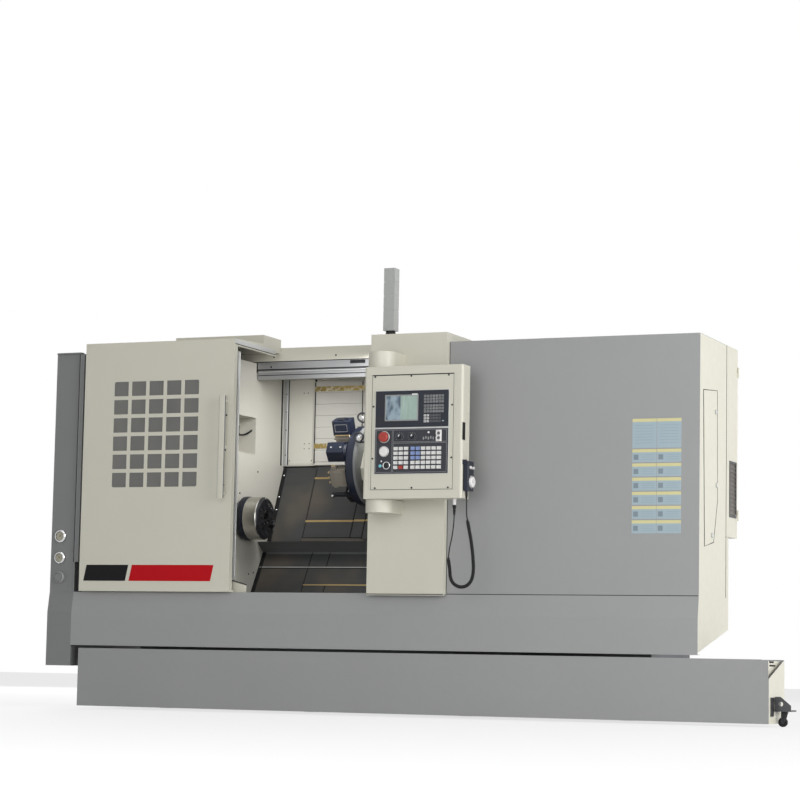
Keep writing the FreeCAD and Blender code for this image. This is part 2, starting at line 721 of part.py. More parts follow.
def build_left_end():
    skin = d.sheet_metal
    low = 248
    step = d.guard_step
    high = d.body_height + 15
    strip = [(0, low), (0, d.guard_fold), (step, d.guard_top), (step, high), (step + skin, high),
             (step + skin, d.guard_top), (skin, d.guard_fold), (skin, low)]
    front = profile(strip, d.left_x, d.column_width)
    side = [(0, low), (0, d.guard_fold), (step, d.guard_top), (step, high), (1050, high),
            (d.body_depth, 1640), (d.body_depth, 420), (1420, low)]
    end = profile(side, d.left_x, skin, [(axis_y, axis_z, 62)])
    back = [(skin, low), (skin, d.guard_fold), (step + skin, d.guard_top), (step + skin, high), (58, high),
            (58, d.guard_top + 4), (58, low)]
    turn_in = profile(back, d.left_x + d.column_width - skin * 2, skin)
    node("left_end_cover", fuse(front, end, turn_in))
    dials = []
    for z, radius in ((1013, 37), (885, 35), (769, 32)):
        face = 8 if radius > 32 else 2
        outline = [(0, 0), (0, radius), (20, radius), (26, radius - 5), (26, radius - 9),
                   (26 - face, radius - 11), (26 - face, 0)]
        dial = turned("X", 0, 0, 0, outline)
        dials.append(place(turn(group(dial), Z_AXIS, -90), d.left_x + 70, d.front_y + step, z))
    node("gauges", group(*dials))


def build_headstock_guard():
    skin = d.sheet_metal
    top = 2085
    outline = [(60, d.guard_top), (60, top), (598, top), (598, top - skin), (60 + skin, top - skin),
               (60 + skin, d.guard_top)]
    start = d.left_x + d.column_width
    node("headstock_guard", profile(outline, start, wall_x - d.cover_thick - start))


def build_top():
    skin = d.sheet_metal
    y = d.beam_y
    beam_x = wall_x - 120
    beam = block(beam_x, d.front_y + y, d.beam_low, pillar_end + 40 - beam_x, 60, d.beam_high - d.beam_low)
    lip = 2101
    outer = [(y, lip), (y, 2120), (1050, 2120), (d.body_depth, 1650), (d.body_depth, 420),
             (d.body_depth - skin, 420), (d.body_depth - skin, 1649), (1049, 2120 - skin),
             (y + skin, 2120 - skin), (y + skin, lip)]
    rear_end = bed_x + d.bed_length + d.press_gap
    rear = profile(outer, d.left_x + skin, rear_end + skin - d.left_x - skin)
    rear_side = profile([(y, lip), (y, 2120), (1050, 2120), (d.body_depth, 1650), (d.body_depth, 420),
                         (d.bed_front, 420), (d.bed_front, 1020), (y, 1400)], rear_end, skin)
    box = profile([(y, 2101), (y, 2265), (y + 245, 2265), (y + 245, 2118), (y + 242, 2118), (y + 242, 2262),
                   (y + skin, 2262), (y + skin, 2101)], d.left_x + 490, 600)
    ends = []
    for x in (d.left_x + 490, d.left_x + 490 + 600 - skin):
        ends.append(block(x, d.front_y + y, 2118, skin, 245, 147))
    node("rear_cover", fuse(beam, rear, rear_side, box, *ends))
    groove = [(y, d.beam_low), (y, 2051), (y + 14, 2051), (y + 14, 2040), (y, 2040), (y, d.rail_low),
              (y + 40, d.rail_low), (y + 40, d.beam_low)]
    node("top_rails", profile(groove, wall_x + 5, pillar_end - wall_x - 5))


def build_pillar():
    skin = d.sheet_metal
    y = d.front_y - 20
    tall = d.pillar_top - d.guard_top
    outer = block(pillar_x, y, d.guard_top - 9, d.pillar_width, d.pillar_depth, tall + 9)
    hollow = block(pillar_x + skin, y + skin, d.guard_top - 20, d.pillar_width - skin * 2, d.pillar_depth,
                   tall + 20 - skin)
    sill = block(pillar_x - 1, y + 20, d.guard_top - 20, d.pillar_width + 2, d.pillar_depth, 20)
    roof = block(pillar_x, y + d.pillar_depth - 1, 2110, d.pillar_width, 600 - 20 - d.pillar_depth + 41,
                 d.pillar_top - 2110)
    under = block(pillar_x + skin, y + d.pillar_depth - 5, 2105, d.pillar_width - skin * 2,
                  600 - 20 - d.pillar_depth + 40, d.pillar_top - 2105 - skin)
    notch = block(pillar_x - 1, d.front_y + 597, 2090, d.pillar_width + 2, 30, 80)
    node("pillar", cut(fuse(cut(outer, hollow, sill), cut(roof, under)), notch))


def build_right():
    skin = d.sheet_metal
    step = d.guard_step
    top = d.body_height
    front = profile([(step, d.guard_top), (step, top), (530, top), (530, top - skin),
                     (step + skin, top - skin), (step + skin, d.guard_top)], pillar_end, right_x - pillar_end)
    cabinet_x = right_x - d.cabinet_width
    roof = block(pillar_end, d.front_y + 529, top - skin, cabinet_x - 1 - pillar_end, 70, skin)
    node("right_cover", fuse(front, roof))
    side = [(3, 381), (610, 515), (610, 1027), (530, 1027), (530, top - skin), (step + skin, top - skin),
            (step + skin, d.guard_top), (3, d.guard_fold)]
    node("right_side", profile(side, right_x - skin, skin))
    deep = d.cabinet_depth
    low = d.cabinet_low
    wide = d.cabinet_width
    y = d.front_y + 530
    tall = top - low
    shell = block(cabinet_x, y, low, wide, deep, tall)
    room = block(cabinet_x + skin, y + skin, low + skin, wide - skin * 2, deep, tall - skin * 2)
    window = block(right_x - skin - 1, y + 96, low + 120, 5, 135, 300)
    louvre = block(right_x - skin - 8, y + 92, low + 116, 8, 143, 308)
    modules = []
    for row, module_z in enumerate((low + 120, low + 560)):
        for column in range(4):
            module_x = cabinet_x + 30 + 98 * column
            modules.append(block(module_x, y + skin - 1, module_z, 76, 120 - 20 * row, 280))
    door = block(cabinet_x + 2, y + deep + d.run_gap, low + 2, wide - 4, 20, tall - 4)
    inset = block(cabinet_x + 2 + skin, y + deep, low + 20, wide - 4 - skin * 2, 17, tall - 40)
    pin_x = right_x + d.knuckle
    pin_y = y + deep + 10
    fixed = []
    swinging = []
    bores = []
    for z in (low + 100, top - 160):
        fixed.append(rod("Z", pin_x, pin_y, z, d.knuckle, 30))
        fixed.append(rod("Z", pin_x, pin_y, z, d.knuckle / 2, 60))
        fixed.append(block(right_x - 1, pin_y - 40, z, 3, 40, 30))
        fixed.append(block(right_x - 1, pin_y - 1, z, d.knuckle, 1, 30))
        swinging.append(rod("Z", pin_x, pin_y, z + 30 + d.run_gap, d.knuckle, 30))
        swinging.append(block(right_x - 4, pin_y - 1, z + 30 + d.run_gap, d.knuckle + 4, 8, 30))
        bores.append(rod("Z", pin_x, pin_y, z + 20, d.knuckle / 2 + d.fit_gap, 60))
    node("electrical_cabinet", fuse(cut(shell, room, window), louvre, *modules, *fixed))
    node("cabinet_door", cut(fuse(cut(door, inset), *swinging), *bores))


def build_lamp():
    y = d.front_y + 70
    side = 67
    x = pillar_x + 32
    top = 2545
    post = block(x, y, 2184, side, side, top - 2184)
    grooves = []
    for z in (2300, 2381, 2462):
        around = block(x - 2, y - 2, z, side + 4, side + 4, 4)
        grooves.append(cut(around, block(x + 2, y + 2, z - 1, side - 4, side - 4, 6)))
    neck = rod("Z", x + side / 2, y + side / 2, d.pillar_top, 20, 2184 - d.pillar_top + 1)
    node("signal_lamp", fuse(cut(post, *grooves), neck))


# ---- door ----

def outer_corner(column, row, x, z):
    """Picks the one upright edge of a corner pane that is a corner of the whole window."""
    corner_x = x if column == 0 else x + d.pane_width
    corner_z = z if row == 0 else z + d.pane_height

    def chosen(edge):
        middle = edge.CenterOfMass
        across = abs(middle.x - corner_x.number) + abs(middle.z - corner_z.number)
        return runs_along(Y_AXIS)(edge) and across < 1
    return chosen


def build_door():
    half = d.door_thick / 2
    top = d.door_top
    rise = d.door_rise
    reach = d.roof_reach - half
    outline = [(-half, d.door_bottom), (-half, top), (reach, top + rise),
               (reach, top + rise - d.door_thick), (half, top - d.door_thick), (half, d.door_bottom)]
    leaf = profile(outline, door_x, d.door_width)
    skin = d.sheet_metal
    frame = d.door_frame
    front_y = d.front_y - half
    room = block(door_x + frame, front_y + skin, d.door_bottom + frame, d.door_width - frame * 2,
                 d.door_thick, top - d.door_bottom - frame * 3)
    window = []
    for column in range(5):
        for row in range(6):
            x = door_x + d.window_at + (d.pane_width + d.pane_bar) * column
            z = d.window_bottom + (d.pane_height + d.pane_bar) * row
            pane = plate("XZ", [(x, z), (x + d.pane_width, z), (x + d.pane_width, z + d.pane_height),
                                (x, z + d.pane_height)], -(front_y + 15), 20)
            if column in (0, 4) and row in (0, 5):
                soften(pane, 12, outer_corner(column, row, x, z))
            window.append(pane)
    foot = block(door_x, d.front_y + half - 1, d.door_bottom, d.door_width, 26, 12)
    roof_room = profile([(80, 2070), (80, top - 4 + rise * 0.16), (reach - 60, top - 4 + rise * 0.88),
                         (reach - 60, 2070)], door_x + frame, d.door_width - frame * 2)
    node("door", cut(fuse(leaf, foot), room, roof_room, *window))
    glass_x = door_x + d.window_at - 15
    wide = d.pane_width * 5 + d.pane_bar * 4 + 30
    tall = d.pane_height * 6 + d.pane_bar * 5 + 30
    node("door_glass", block(glass_x, front_y + skin, d.window_bottom - 15, wide, 5, tall))
    x = door_x + d.handle_at - 10
    bar_y = front_y - d.handle_stand - d.handle_thick
    tall = d.handle_high - d.handle_low
    bar = soften(plate("XZ", [(x, d.handle_low), (x + d.handle_width, d.handle_low),
                              (x + d.handle_width, d.handle_high), (x, d.handle_high)],
                       -(bar_y + d.handle_thick), d.handle_thick), 3, runs_along(Z_AXIS))
    posts = []
    for z in (d.handle_low + 30, d.handle_low + tall / 2, d.handle_high - 30):
        posts.append(rod("Y", x + d.handle_width / 2, bar_y + d.handle_thick - 1, z, 9, d.handle_stand + 1))
    node("door_handle", fuse(bar, *posts))


# ---- operator panel ----

panel_x = d.left_x + d.panel_at
panel_y = d.front_y + d.panel_front
pivot_y = d.front_y + d.pivot_y


def build_panel():
    x = panel_x
    y = panel_y
    wide = d.panel_width
    high = d.panel_high - d.panel_low
    outline = [(x, y), (x + wide, y), (x + wide, y + d.panel_thick), (x, y + d.panel_thick)]
    case = plate("XY", outline, d.panel_low, high)
    soften(case, 14, runs_along(Z_AXIS))
    holes = []
    for z in (d.panel_low - 1, d.panel_high - 29):
        holes.append(rod("Z", d.pivot_x, pivot_y, z, d.pin_radius + d.fit_gap, 30))
    unit_x = x + d.unit_at
    holes.append(block(unit_x, y - 1, 1594, d.unit_width, 41, 202))
    holes.append(block(unit_x, y - 1, 1337, d.unit_width, 41, 247))
    holes.append(block(x + 34, y - 1, 1249, 516, 3, 637))
    face = block(x + 36, y, 1251, 512, 2, 633)
    node("panel_box", fuse(cut(case, *holes), cut(face, holes[2], holes[3])))
    unit = block(unit_x, y - 6, 1594, d.unit_width, 46, 202)
    screen = block(unit_x + 60, y - 7, 1632, 192, 7, 138)
    keys = block(unit_x + 286, y - 7, 1616, 124, 3, 160)
    node("cnc_unit", cut(unit, screen, keys))
    board = block(unit_x, y - 6, 1337, d.unit_width, 46, 247)
    sockets = []
    for px, pz, radius in control_places():
        sockets.append(rod("Y", unit_x + px, y - 7, pz, radius + d.fit_gap, 38))
    rows = []
    for start, columns in ((116, 3), (218, 6)):
        for column in range(columns):
            for row in range(5):
                kx = unit_x + start + 31 * column
                rows.append(block(kx, y - 9, 1362 + 26 * row, 22, 4, 17))
    node("control_board", fuse(cut(board, *sockets), *rows))
    build_controls(unit_x, y)


def control_places():
    """Where each control sits on the board: x from its left edge, height and shaft radius."""
    return ((56, 1540, 11), (56, 1460, 14), (72, 1382, 9), (146, 1541, 5), (222, 1541, 5))


def build_controls(unit_x, y):
    places = control_places()
    front = y - 6

    def stem(index, outline):
        px, pz, radius = places[index]
        shaft = [(0, 0), (0, radius), (30, radius)] + outline + [(outline[-1][0], 0)]
        piece = turned("X", 0, 0, 0, shaft)
        return place(turn(group(piece), Z_AXIS, -90), unit_x + px, front + 30, pz)

    node("estop_button", stem(0, [(38, 11), (38, 26), (44, 29), (50, 28), (54, 20)]))
    node("start_button", stem(1, [(36, 14), (36, 24), (40, 26), (43, 22)]))
    node("key_switch", stem(2, [(33, 9), (33, 15), (38, 15), (40, 13)]))
    for number, index in ((1, 3), (2, 4)):
        knob = stem(index, [(32, 5), (32, 13), (44, 11), (46, 9)])
        px, pz, radius = places[index]
        grip = block(unit_x + px - 2.5, front - 20, pz - 12, 5, 10, 24)
        node("override_knob_%d" % number, fuse(knob, grip))


def build_brackets():
    pieces = []
    spans = ((d.panel_high + 1, d.panel_high + 92, -27), (d.panel_low - 74, d.panel_low - 1, 0))
    for low, high, pin in spans:
        tall = high - low
        barrel = rod("Z", d.pivot_x, pivot_y, low, d.barrel_radius, tall)
        arm = block(d.pivot_x - d.barrel_radius, pivot_y, low, d.barrel_radius * 2,
                    d.front_y - 20 - pivot_y, tall)
        pin_rod = rod("Z", d.pivot_x, pivot_y, low + pin, d.pin_radius, tall + 27)
        pieces.append(fuse(barrel, arm, pin_rod))
    node("panel_brackets", group(*pieces))


def build_pendant():
    x = panel_x + d.panel_width
    y = d.front_y - 235
    outline = [(x, y), (x + 34, y), (x + 34, y + 80), (x, y + 80)]
    case = plate("XY", outline, 1241, 162)
    soften(case, 8, runs_along(Z_AXIS))
    holes = [rod("X", x + 20, y + 40, 1290, 6 + d.fit_gap, 20)]
    for dy in (20, 60):
        holes.append(rod("X", x + 24, y + dy, 1368, 4 + d.fit_gap, 20))
    gland = rod("Z", x + 7, y + 45, 1226, 6, 16)
    node("pendant", cut(fuse(case, gland), *holes))
    rim = [(0, 0), (0, 6), (12.4, 6), (12.4, 30), (24, 30), (27, 26), (27, 0)]
    dial = turned("X", x + 22, y + 40, 1290, rim)
    crank = rod("X", x + 48, y + 40 - 20, 1290, 4, 16)
    node("handwheel", fuse(dial, crank))
    for number, dy in ((1, 20), (2, 60)):
        knob = turned("X", x + 26, y + dy, 1368, [(0, 0), (0, 4), (8.4, 4), (8.4, 9), (17, 8), (17, 0)])
        node("pendant_knob_%d" % number, knob)


# ---- pendant cord ----

cord_radius = 3.5
curl_radius = 10
curl_turns = 66.5
cord_y = -850
lead_out = [(431, 1136), (431, 1096), (427, 1040), (418, 980), (406, 930), (402, 892)]
curl_run = [(402, 892), (400, 873), (405, 842), (411, 810), (412, 779), (421, 748), (445, 725), (479, 715),
            (513, 724), (537, 749), (547, 784), (549, 826), (545, 878), (538, 936), (528, 994),
            (516, 1046), (506, 1098)]
lead_back = [(506, 1098), (502, 1120), (502, 1226)]


def rounded_path(points):
    """Straight runs joined by tangent arcs, each arc as large as its two runs allow."""
    spots = [FreeCAD.Vector(x, cord_y, z) for x, z in points]
    edges = []
    radii = []
    start = spots[0]
    for before, corner, after in zip(spots, spots[1:], spots[2:]):
        enter, leave, middle, radius = rounded_corner(before, corner, after)
        radii.append(round(radius, 1))
        edges.append(Part.makeLine(start, enter))
        edges.append(Part.Arc(enter, middle, leave).toShape())
        start = leave
    edges.append(Part.makeLine(start, spots[-1]))
    return Part.Wire(edges), radii


def rounded_corner(before, corner, after):
    back = before - corner
    ahead = after - corner
    half_turn = (math.pi - back.getAngle(ahead)) / 2
    reach = 0.45 * min(back.Length, ahead.Length)
    back.normalize()
    ahead.normalize()
    radius = reach / math.tan(half_turn)
    middle = corner + (back + ahead).normalize() * (radius / math.cos(half_turn) - radius)
    return corner + back * reach, corner + ahead * reach, middle, radius


def arc_to(start, corner, end):
    """The arc that leaves start towards the corner and arrives at end from it, and its radius."""
    back = (start - corner).normalize()
    ahead = (end - corner).normalize()
    half_turn = (math.pi - back.getAngle(ahead)) / 2
    radius = (start - corner).Length / math.tan(half_turn)
    middle = corner + (back + ahead).normalize() * (radius / math.cos(half_turn) - radius)
    return Part.Arc(start, middle, end).toShape(), radius


def two_arcs(start, leaving, end, arriving):
    """Two arcs that share a tangent where they meet and keep the given ones at both ends."""
    across = end - start
    together = leaving + arriving
    spread = 2 * (1 - leaving.dot(arriving))
    along = across.dot(together)
    reach = (math.sqrt(along ** 2 + spread * across.dot(across)) - along) / spread
    first_corner = start + leaving * reach
    second_corner = end - arriving * reach
    meeting = (first_corner + second_corner) * 0.5
    first, first_radius = arc_to(start, first_corner, meeting)
    second, second_radius = arc_to(meeting, second_corner, end)
    return [first, second], [first_radius, second_radius]


def walk(path, distance):
    """The point and heading at a distance along the wire."""
    for edge in path.Edges:
        if distance <= edge.Length or edge.isSame(path.Edges[-1]):
            parameter = edge.getParameterByLength(min(distance, edge.Length))
            return edge.valueAt(parameter), edge.tangentAt(parameter)
        distance -= edge.Length


def curled_path(points, turns, mean_radius, straight):
    """One cord wound round the path: straight at both ends, opening to its full radius over one turn."""
    path = rounded_path(points)[0]
    quarters = int(turns * 4)
    opening = 8
    advance = (path.Length - straight * 2) / (quarters + opening)
    sideways = Y_AXIS

    def spot(quarter):
        share = min(1, max(0, min(quarter, quarters - quarter) / opening))
        radius = mean_radius * share ** 2 * (3 - 2 * share)
        extra = (min(quarter, opening) + max(0, quarter - quarters + opening)) / 2
        centre, heading = walk(path, straight + advance * (quarter + extra))
        normal = sideways.cross(heading)
        angle = quarter * math.pi / 2
        return centre + (normal * math.cos(angle) + sideways * math.sin(angle)) * radius

    def heading_at(quarter):
        small = 0.01
        if quarter == 0:
            return walk(path, straight)[1]
        if quarter == quarters:
            return walk(path, path.Length - straight)[1]
        return (spot(quarter + small) - spot(quarter - small)).normalize()

    steps = list(range(opening)) + list(range(opening, quarters - opening, 2))
    steps += list(range(quarters - opening, quarters + 1))
    edges = [Part.makeLine(walk(path, 0)[0], spot(0))]
    radii = []
    for here, there in zip(steps, steps[1:]):
        arcs, sizes = two_arcs(spot(here), heading_at(here), spot(there), heading_at(there))
        edges += arcs
        radii += sizes
    edges.append(Part.makeLine(spot(quarters), walk(path, path.Length)[0]))
    return Part.Wire(edges), radii


def least_gap(path, radius):
    """The smallest space between one turn and the next, measured on points of the path."""
    spots = []
    reached = []
    total = 0
    for edge in path.Edges:
        for i, spot in enumerate(edge.discretize(Number=5)[:-1]):
            spots.append(spot)
            reached.append(total + edge.Length * i / 4)
        total += edge.Length
    least = path.Length
    for i, spot in enumerate(spots):
        for j in range(i + 1, len(spots)):
            apart = reached[j] - reached[i]
            if apart > radius * 30:
                break
            if apart > radius * 5:
                least = min(least, (spots[j] - spot).Length)
    return least - radius * 2


def cord_tube(label, path, radius):
    first = path.Edges[0]
    heading = first.tangentAt(first.FirstParameter)
    side = heading.cross(Y_AXIS).normalize()
    other = heading.cross(side)
    corners = []
    for i in range(7):
        angle = i * math.pi / 3
        corners.append(first.Vertexes[0].Point + (side * math.cos(angle) + other * math.sin(angle)) * radius)
    ring = Part.makePolygon(corners)
    solid = path.makePipeShell([ring], True, False)
    share = 3 * math.sqrt(3) / 2
    print(label, "volume ratio", round(solid.Volume / (share * radius ** 2 * path.Length), 4))
    piece = add("Part::Feature")
    piece.Shape = solid
    return piece


def build_cord():
    boot = cord_radius + 1.5
    section = [(0, 0), (0, 12), (8, 12), (8, 9), (34, 9), (36, 11), (46, 10), (64, boot), (64, 0)]
    outlet = turn(turned("X", 0, 0, 0, section), Y_AXIS, 90)
    node("cord_connector", place(outlet, 431, cord_y, d.panel_low))
    leads = []
    for label, points in (("lead_out", lead_out), ("lead_back", lead_back)):
        path, radii = rounded_path(points)
        print(label, "radii", radii)
        leads.append(cord_tube(label, path, cord_radius))
    node("cord_leads", group(*leads))
    wound, radii = curled_path(curl_run, curl_turns, curl_radius - cord_radius, cord_radius * 2)
    print("curl radii from", round(min(radii), 2), "gap", round(least_gap(wound, cord_radius), 2))
    node("cord_curl", cord_tube("curl", wound, cord_radius))


# ---- tank and castor ----

def build_tank():
    wall = 4
    x = tank_x
    end = tank_x + d.tank_length
    neck = end - d.neck_length
    y = d.front_y
    tall = d.tank_high - d.tank_low
    outline = [(x, y), (end, y), (end, y + d.neck_depth), (neck, y + d.neck_depth),
               (neck, y + d.tank_depth), (x, y + d.tank_depth)]
    shell = plate("XY", outline, d.tank_low, tall)
    room = [(x + wall, y + wall), (end - wall, y + wall), (end - wall, y + d.neck_depth - wall),
            (neck - wall, y + d.neck_depth - wall), (neck - wall, y + d.tank_depth - wall),
            (x + wall, y + d.tank_depth - wall)]
    inside = plate("XY", room, d.tank_low + wall, tall)
    corner = profile([(-5, 250), (d.neck_depth - 8, 350), (d.neck_depth - 8, 400), (-5, 400)], end - 40, 50)
    reach = d.castor_reach * 2
    low = 81
    foot = end + d.press_gap
    bracket = block(foot, y + d.castor_y - 60, low, reach, 120, 8)
    ear = plate("XZ", [(foot, low), (foot + reach, low), (foot + reach, low + 32), (foot + 34, low + 78),
                       (foot, low + 78)], -(y + d.castor_y - 54), 6, [(foot + 36, low + 40, 12)])
    soften(ear, 9, runs_along(Y_AXIS))
    heel = block(foot, y + d.castor_y - 60, low, 6, 120, 70)
    stud = rod("Z", end + d.castor_reach, y + d.castor_y, low - 10, 6, 12)
    stops = []
    for stop_x in (bed_x + 480, bed_x + 2700):
        gap = d.bed_front - d.tank_depth
        stops.append(block(stop_x, y + d.tank_depth, 180, 40, gap - d.press_gap, 60))
    rim = turned_rim(x, end, neck, y, wall)
    carrier = fuse(bracket, ear, heel, stud)
    node("coolant_tank", group(fuse(cut(shell, inside, corner), *rim), carrier, *stops))
    build_castor(end + d.castor_reach, y + d.castor_y, low)


def turned_rim(x, end, neck, y, wall):
    """The flange turned inwards round the tank's upper edge, kept short of the cut corner."""
    top = d.tank_high - wall
    flange = 22
    front = block(x + 1, y + 1, top, end - 60 - x, flange, wall)
    left = block(x + 1, y + 1, top, flange, d.tank_depth - 2, wall)
    rear = block(x + 1, y + d.tank_depth - 1 - flange, top, neck - x - 2, flange, wall)
    return [front, left, rear]


def build_castor(x, y, top):
    radius = d.wheel_radius
    trail = 12
    half = d.wheel_width / 2 + 1
    crown = block(x - 20, y - half - 3, top - 9, 40 - 6, half * 2 + 6, 8.6)
    cheeks = []
    for side_y in (y - half - 3, y + half):
        cheek = plate("XZ", [(x - trail - 8, radius - 8), (x - trail + 8, radius - 8), (x + 14, top - 1),
                             (x - 20, top - 1)], -(side_y + 3), 3)
        cheeks.append(cheek)
    axle = rod("Y", x - trail, y - half - 5, radius, 4, half * 2 + 10)
    stud_hole = rod("Z", x, y, top - 12, 6 + d.fit_gap, 14)
    trim = block(x - 40, y - 30, top - 0.4, 80, 60, 5)
    node("castor_fork", cut(fuse(crown, axle, *cheeks), stud_hole, trim))
    width = d.wheel_width / 2
    outline = [(-width, 4 + d.fit_gap), (width, 4 + d.fit_gap), (width, 10), (width - 3, 12),
               (width - 3, radius - 8), (width, radius - 6), (width, radius - 2), (width - 2, radius),
               (-width + 2, radius), (-width, radius - 2), (-width, radius - 6), (3 - width, radius - 8),
               (3 - width, 12), (-width, 10)]
    node("castor_wheel", turned("Y", x - trail, y, radius, outline))


build_bed()
build_feet()
build_headstock()
build_spindle()
build_drive()
build_chuck()
build_carriage()
build_back_shield()
build_turret()
build_tailstock()
build_slant_covers()
build_lining()
build_guard()
build_left_end()
build_headstock_guard()
build_top()
build_pillar()
build_right()
build_lamp()
build_door()
build_panel()
build_brackets()
build_pendant()
build_cord()
build_tank()

doc.recompute()
for thing in doc.Objects:
    if "Invalid" in thing.State or "Error" in thing.State:
        raise RuntimeError("%s (%s) failed: %s" % (thing.Name, thing.Label, thing.State))
os.makedirs("parts", exist_ok=True)
for label, piece in nodes.items():
    shape = piece.Shape
    if shape.isNull() or not shape.isValid():
        raise RuntimeError(label + " has no valid shape")
    shape.exportStep("parts/%s.step" % label)
print(len(nodes), "nodes written")
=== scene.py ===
import bpy
import math
from mathutils import Matrix, Vector


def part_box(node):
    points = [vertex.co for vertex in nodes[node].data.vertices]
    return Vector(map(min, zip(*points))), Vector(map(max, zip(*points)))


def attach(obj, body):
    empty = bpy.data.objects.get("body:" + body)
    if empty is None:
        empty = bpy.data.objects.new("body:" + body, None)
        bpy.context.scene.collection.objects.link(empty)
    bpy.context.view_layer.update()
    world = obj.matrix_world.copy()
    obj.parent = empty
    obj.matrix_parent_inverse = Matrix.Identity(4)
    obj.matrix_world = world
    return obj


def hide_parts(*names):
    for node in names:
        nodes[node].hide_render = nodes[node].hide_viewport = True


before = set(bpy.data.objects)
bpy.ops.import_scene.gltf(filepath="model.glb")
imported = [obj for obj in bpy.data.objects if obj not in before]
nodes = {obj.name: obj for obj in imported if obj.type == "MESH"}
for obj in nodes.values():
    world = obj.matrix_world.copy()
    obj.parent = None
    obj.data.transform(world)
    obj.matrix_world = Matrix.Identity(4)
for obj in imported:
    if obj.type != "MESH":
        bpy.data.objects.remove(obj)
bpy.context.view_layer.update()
print("stage: frame loaded,", len(nodes), "nodes")

# the camera stands low and well to the right, with a long lens; lens and sensor are in millimetres
cameraView = {"place": (5.3954, -13.3749, 0.2862), "yaw": 0.4003, "pitch": 0.1074, "roll": 0.019,
              "lens": 110.7306, "sensor": 36.0, "far": 100}


def placeCamera(view):
    yaw, pitch, roll = view["yaw"], view["pitch"], view["roll"]
    ahead = Vector((-math.sin(yaw) * math.cos(pitch), math.cos(yaw) * math.cos(pitch), math.sin(pitch)))
    right = Vector((math.cos(yaw), math.sin(yaw), 0))
    up = right.cross(ahead)
    rolledRight = right * math.cos(roll) + up * math.sin(roll)
    rolledUp = up * math.cos(roll) - right * math.sin(roll)
    data = bpy.data.cameras.new("camera")
    data.sensor_width = view["sensor"]
    data.lens = view["lens"]
    data.clip_end = view["far"]
    camera = bpy.data.objects.new("camera", data)
    bpy.context.scene.collection.objects.link(camera)
    turned = Matrix((rolledRight, rolledUp, -ahead)).transposed().to_4x4()
    camera.matrix_world = Matrix.Translation(view["place"]) @ turned
    bpy.context.scene.camera = camera


placeCamera(cameraView)


def look(slot, colour, rough, mottle, grain, bump, edgeWearAndHighlight, edge, **more):
    # colours are linear; mottle is a share of the colour, grain the fine pattern's size in 1/m,
    # edgeWearAndHighlight the paler colour of the edges, partly rubbed wear and partly a painted highlight, and edge
    # their radius in metres
    return {"slot": slot, "colour": colour, "rough": rough, "mottle": mottle, "grain": grain, "bump": bump,
            "edgeWearAndHighlight": edgeWearAndHighlight, "round": edge, **more}


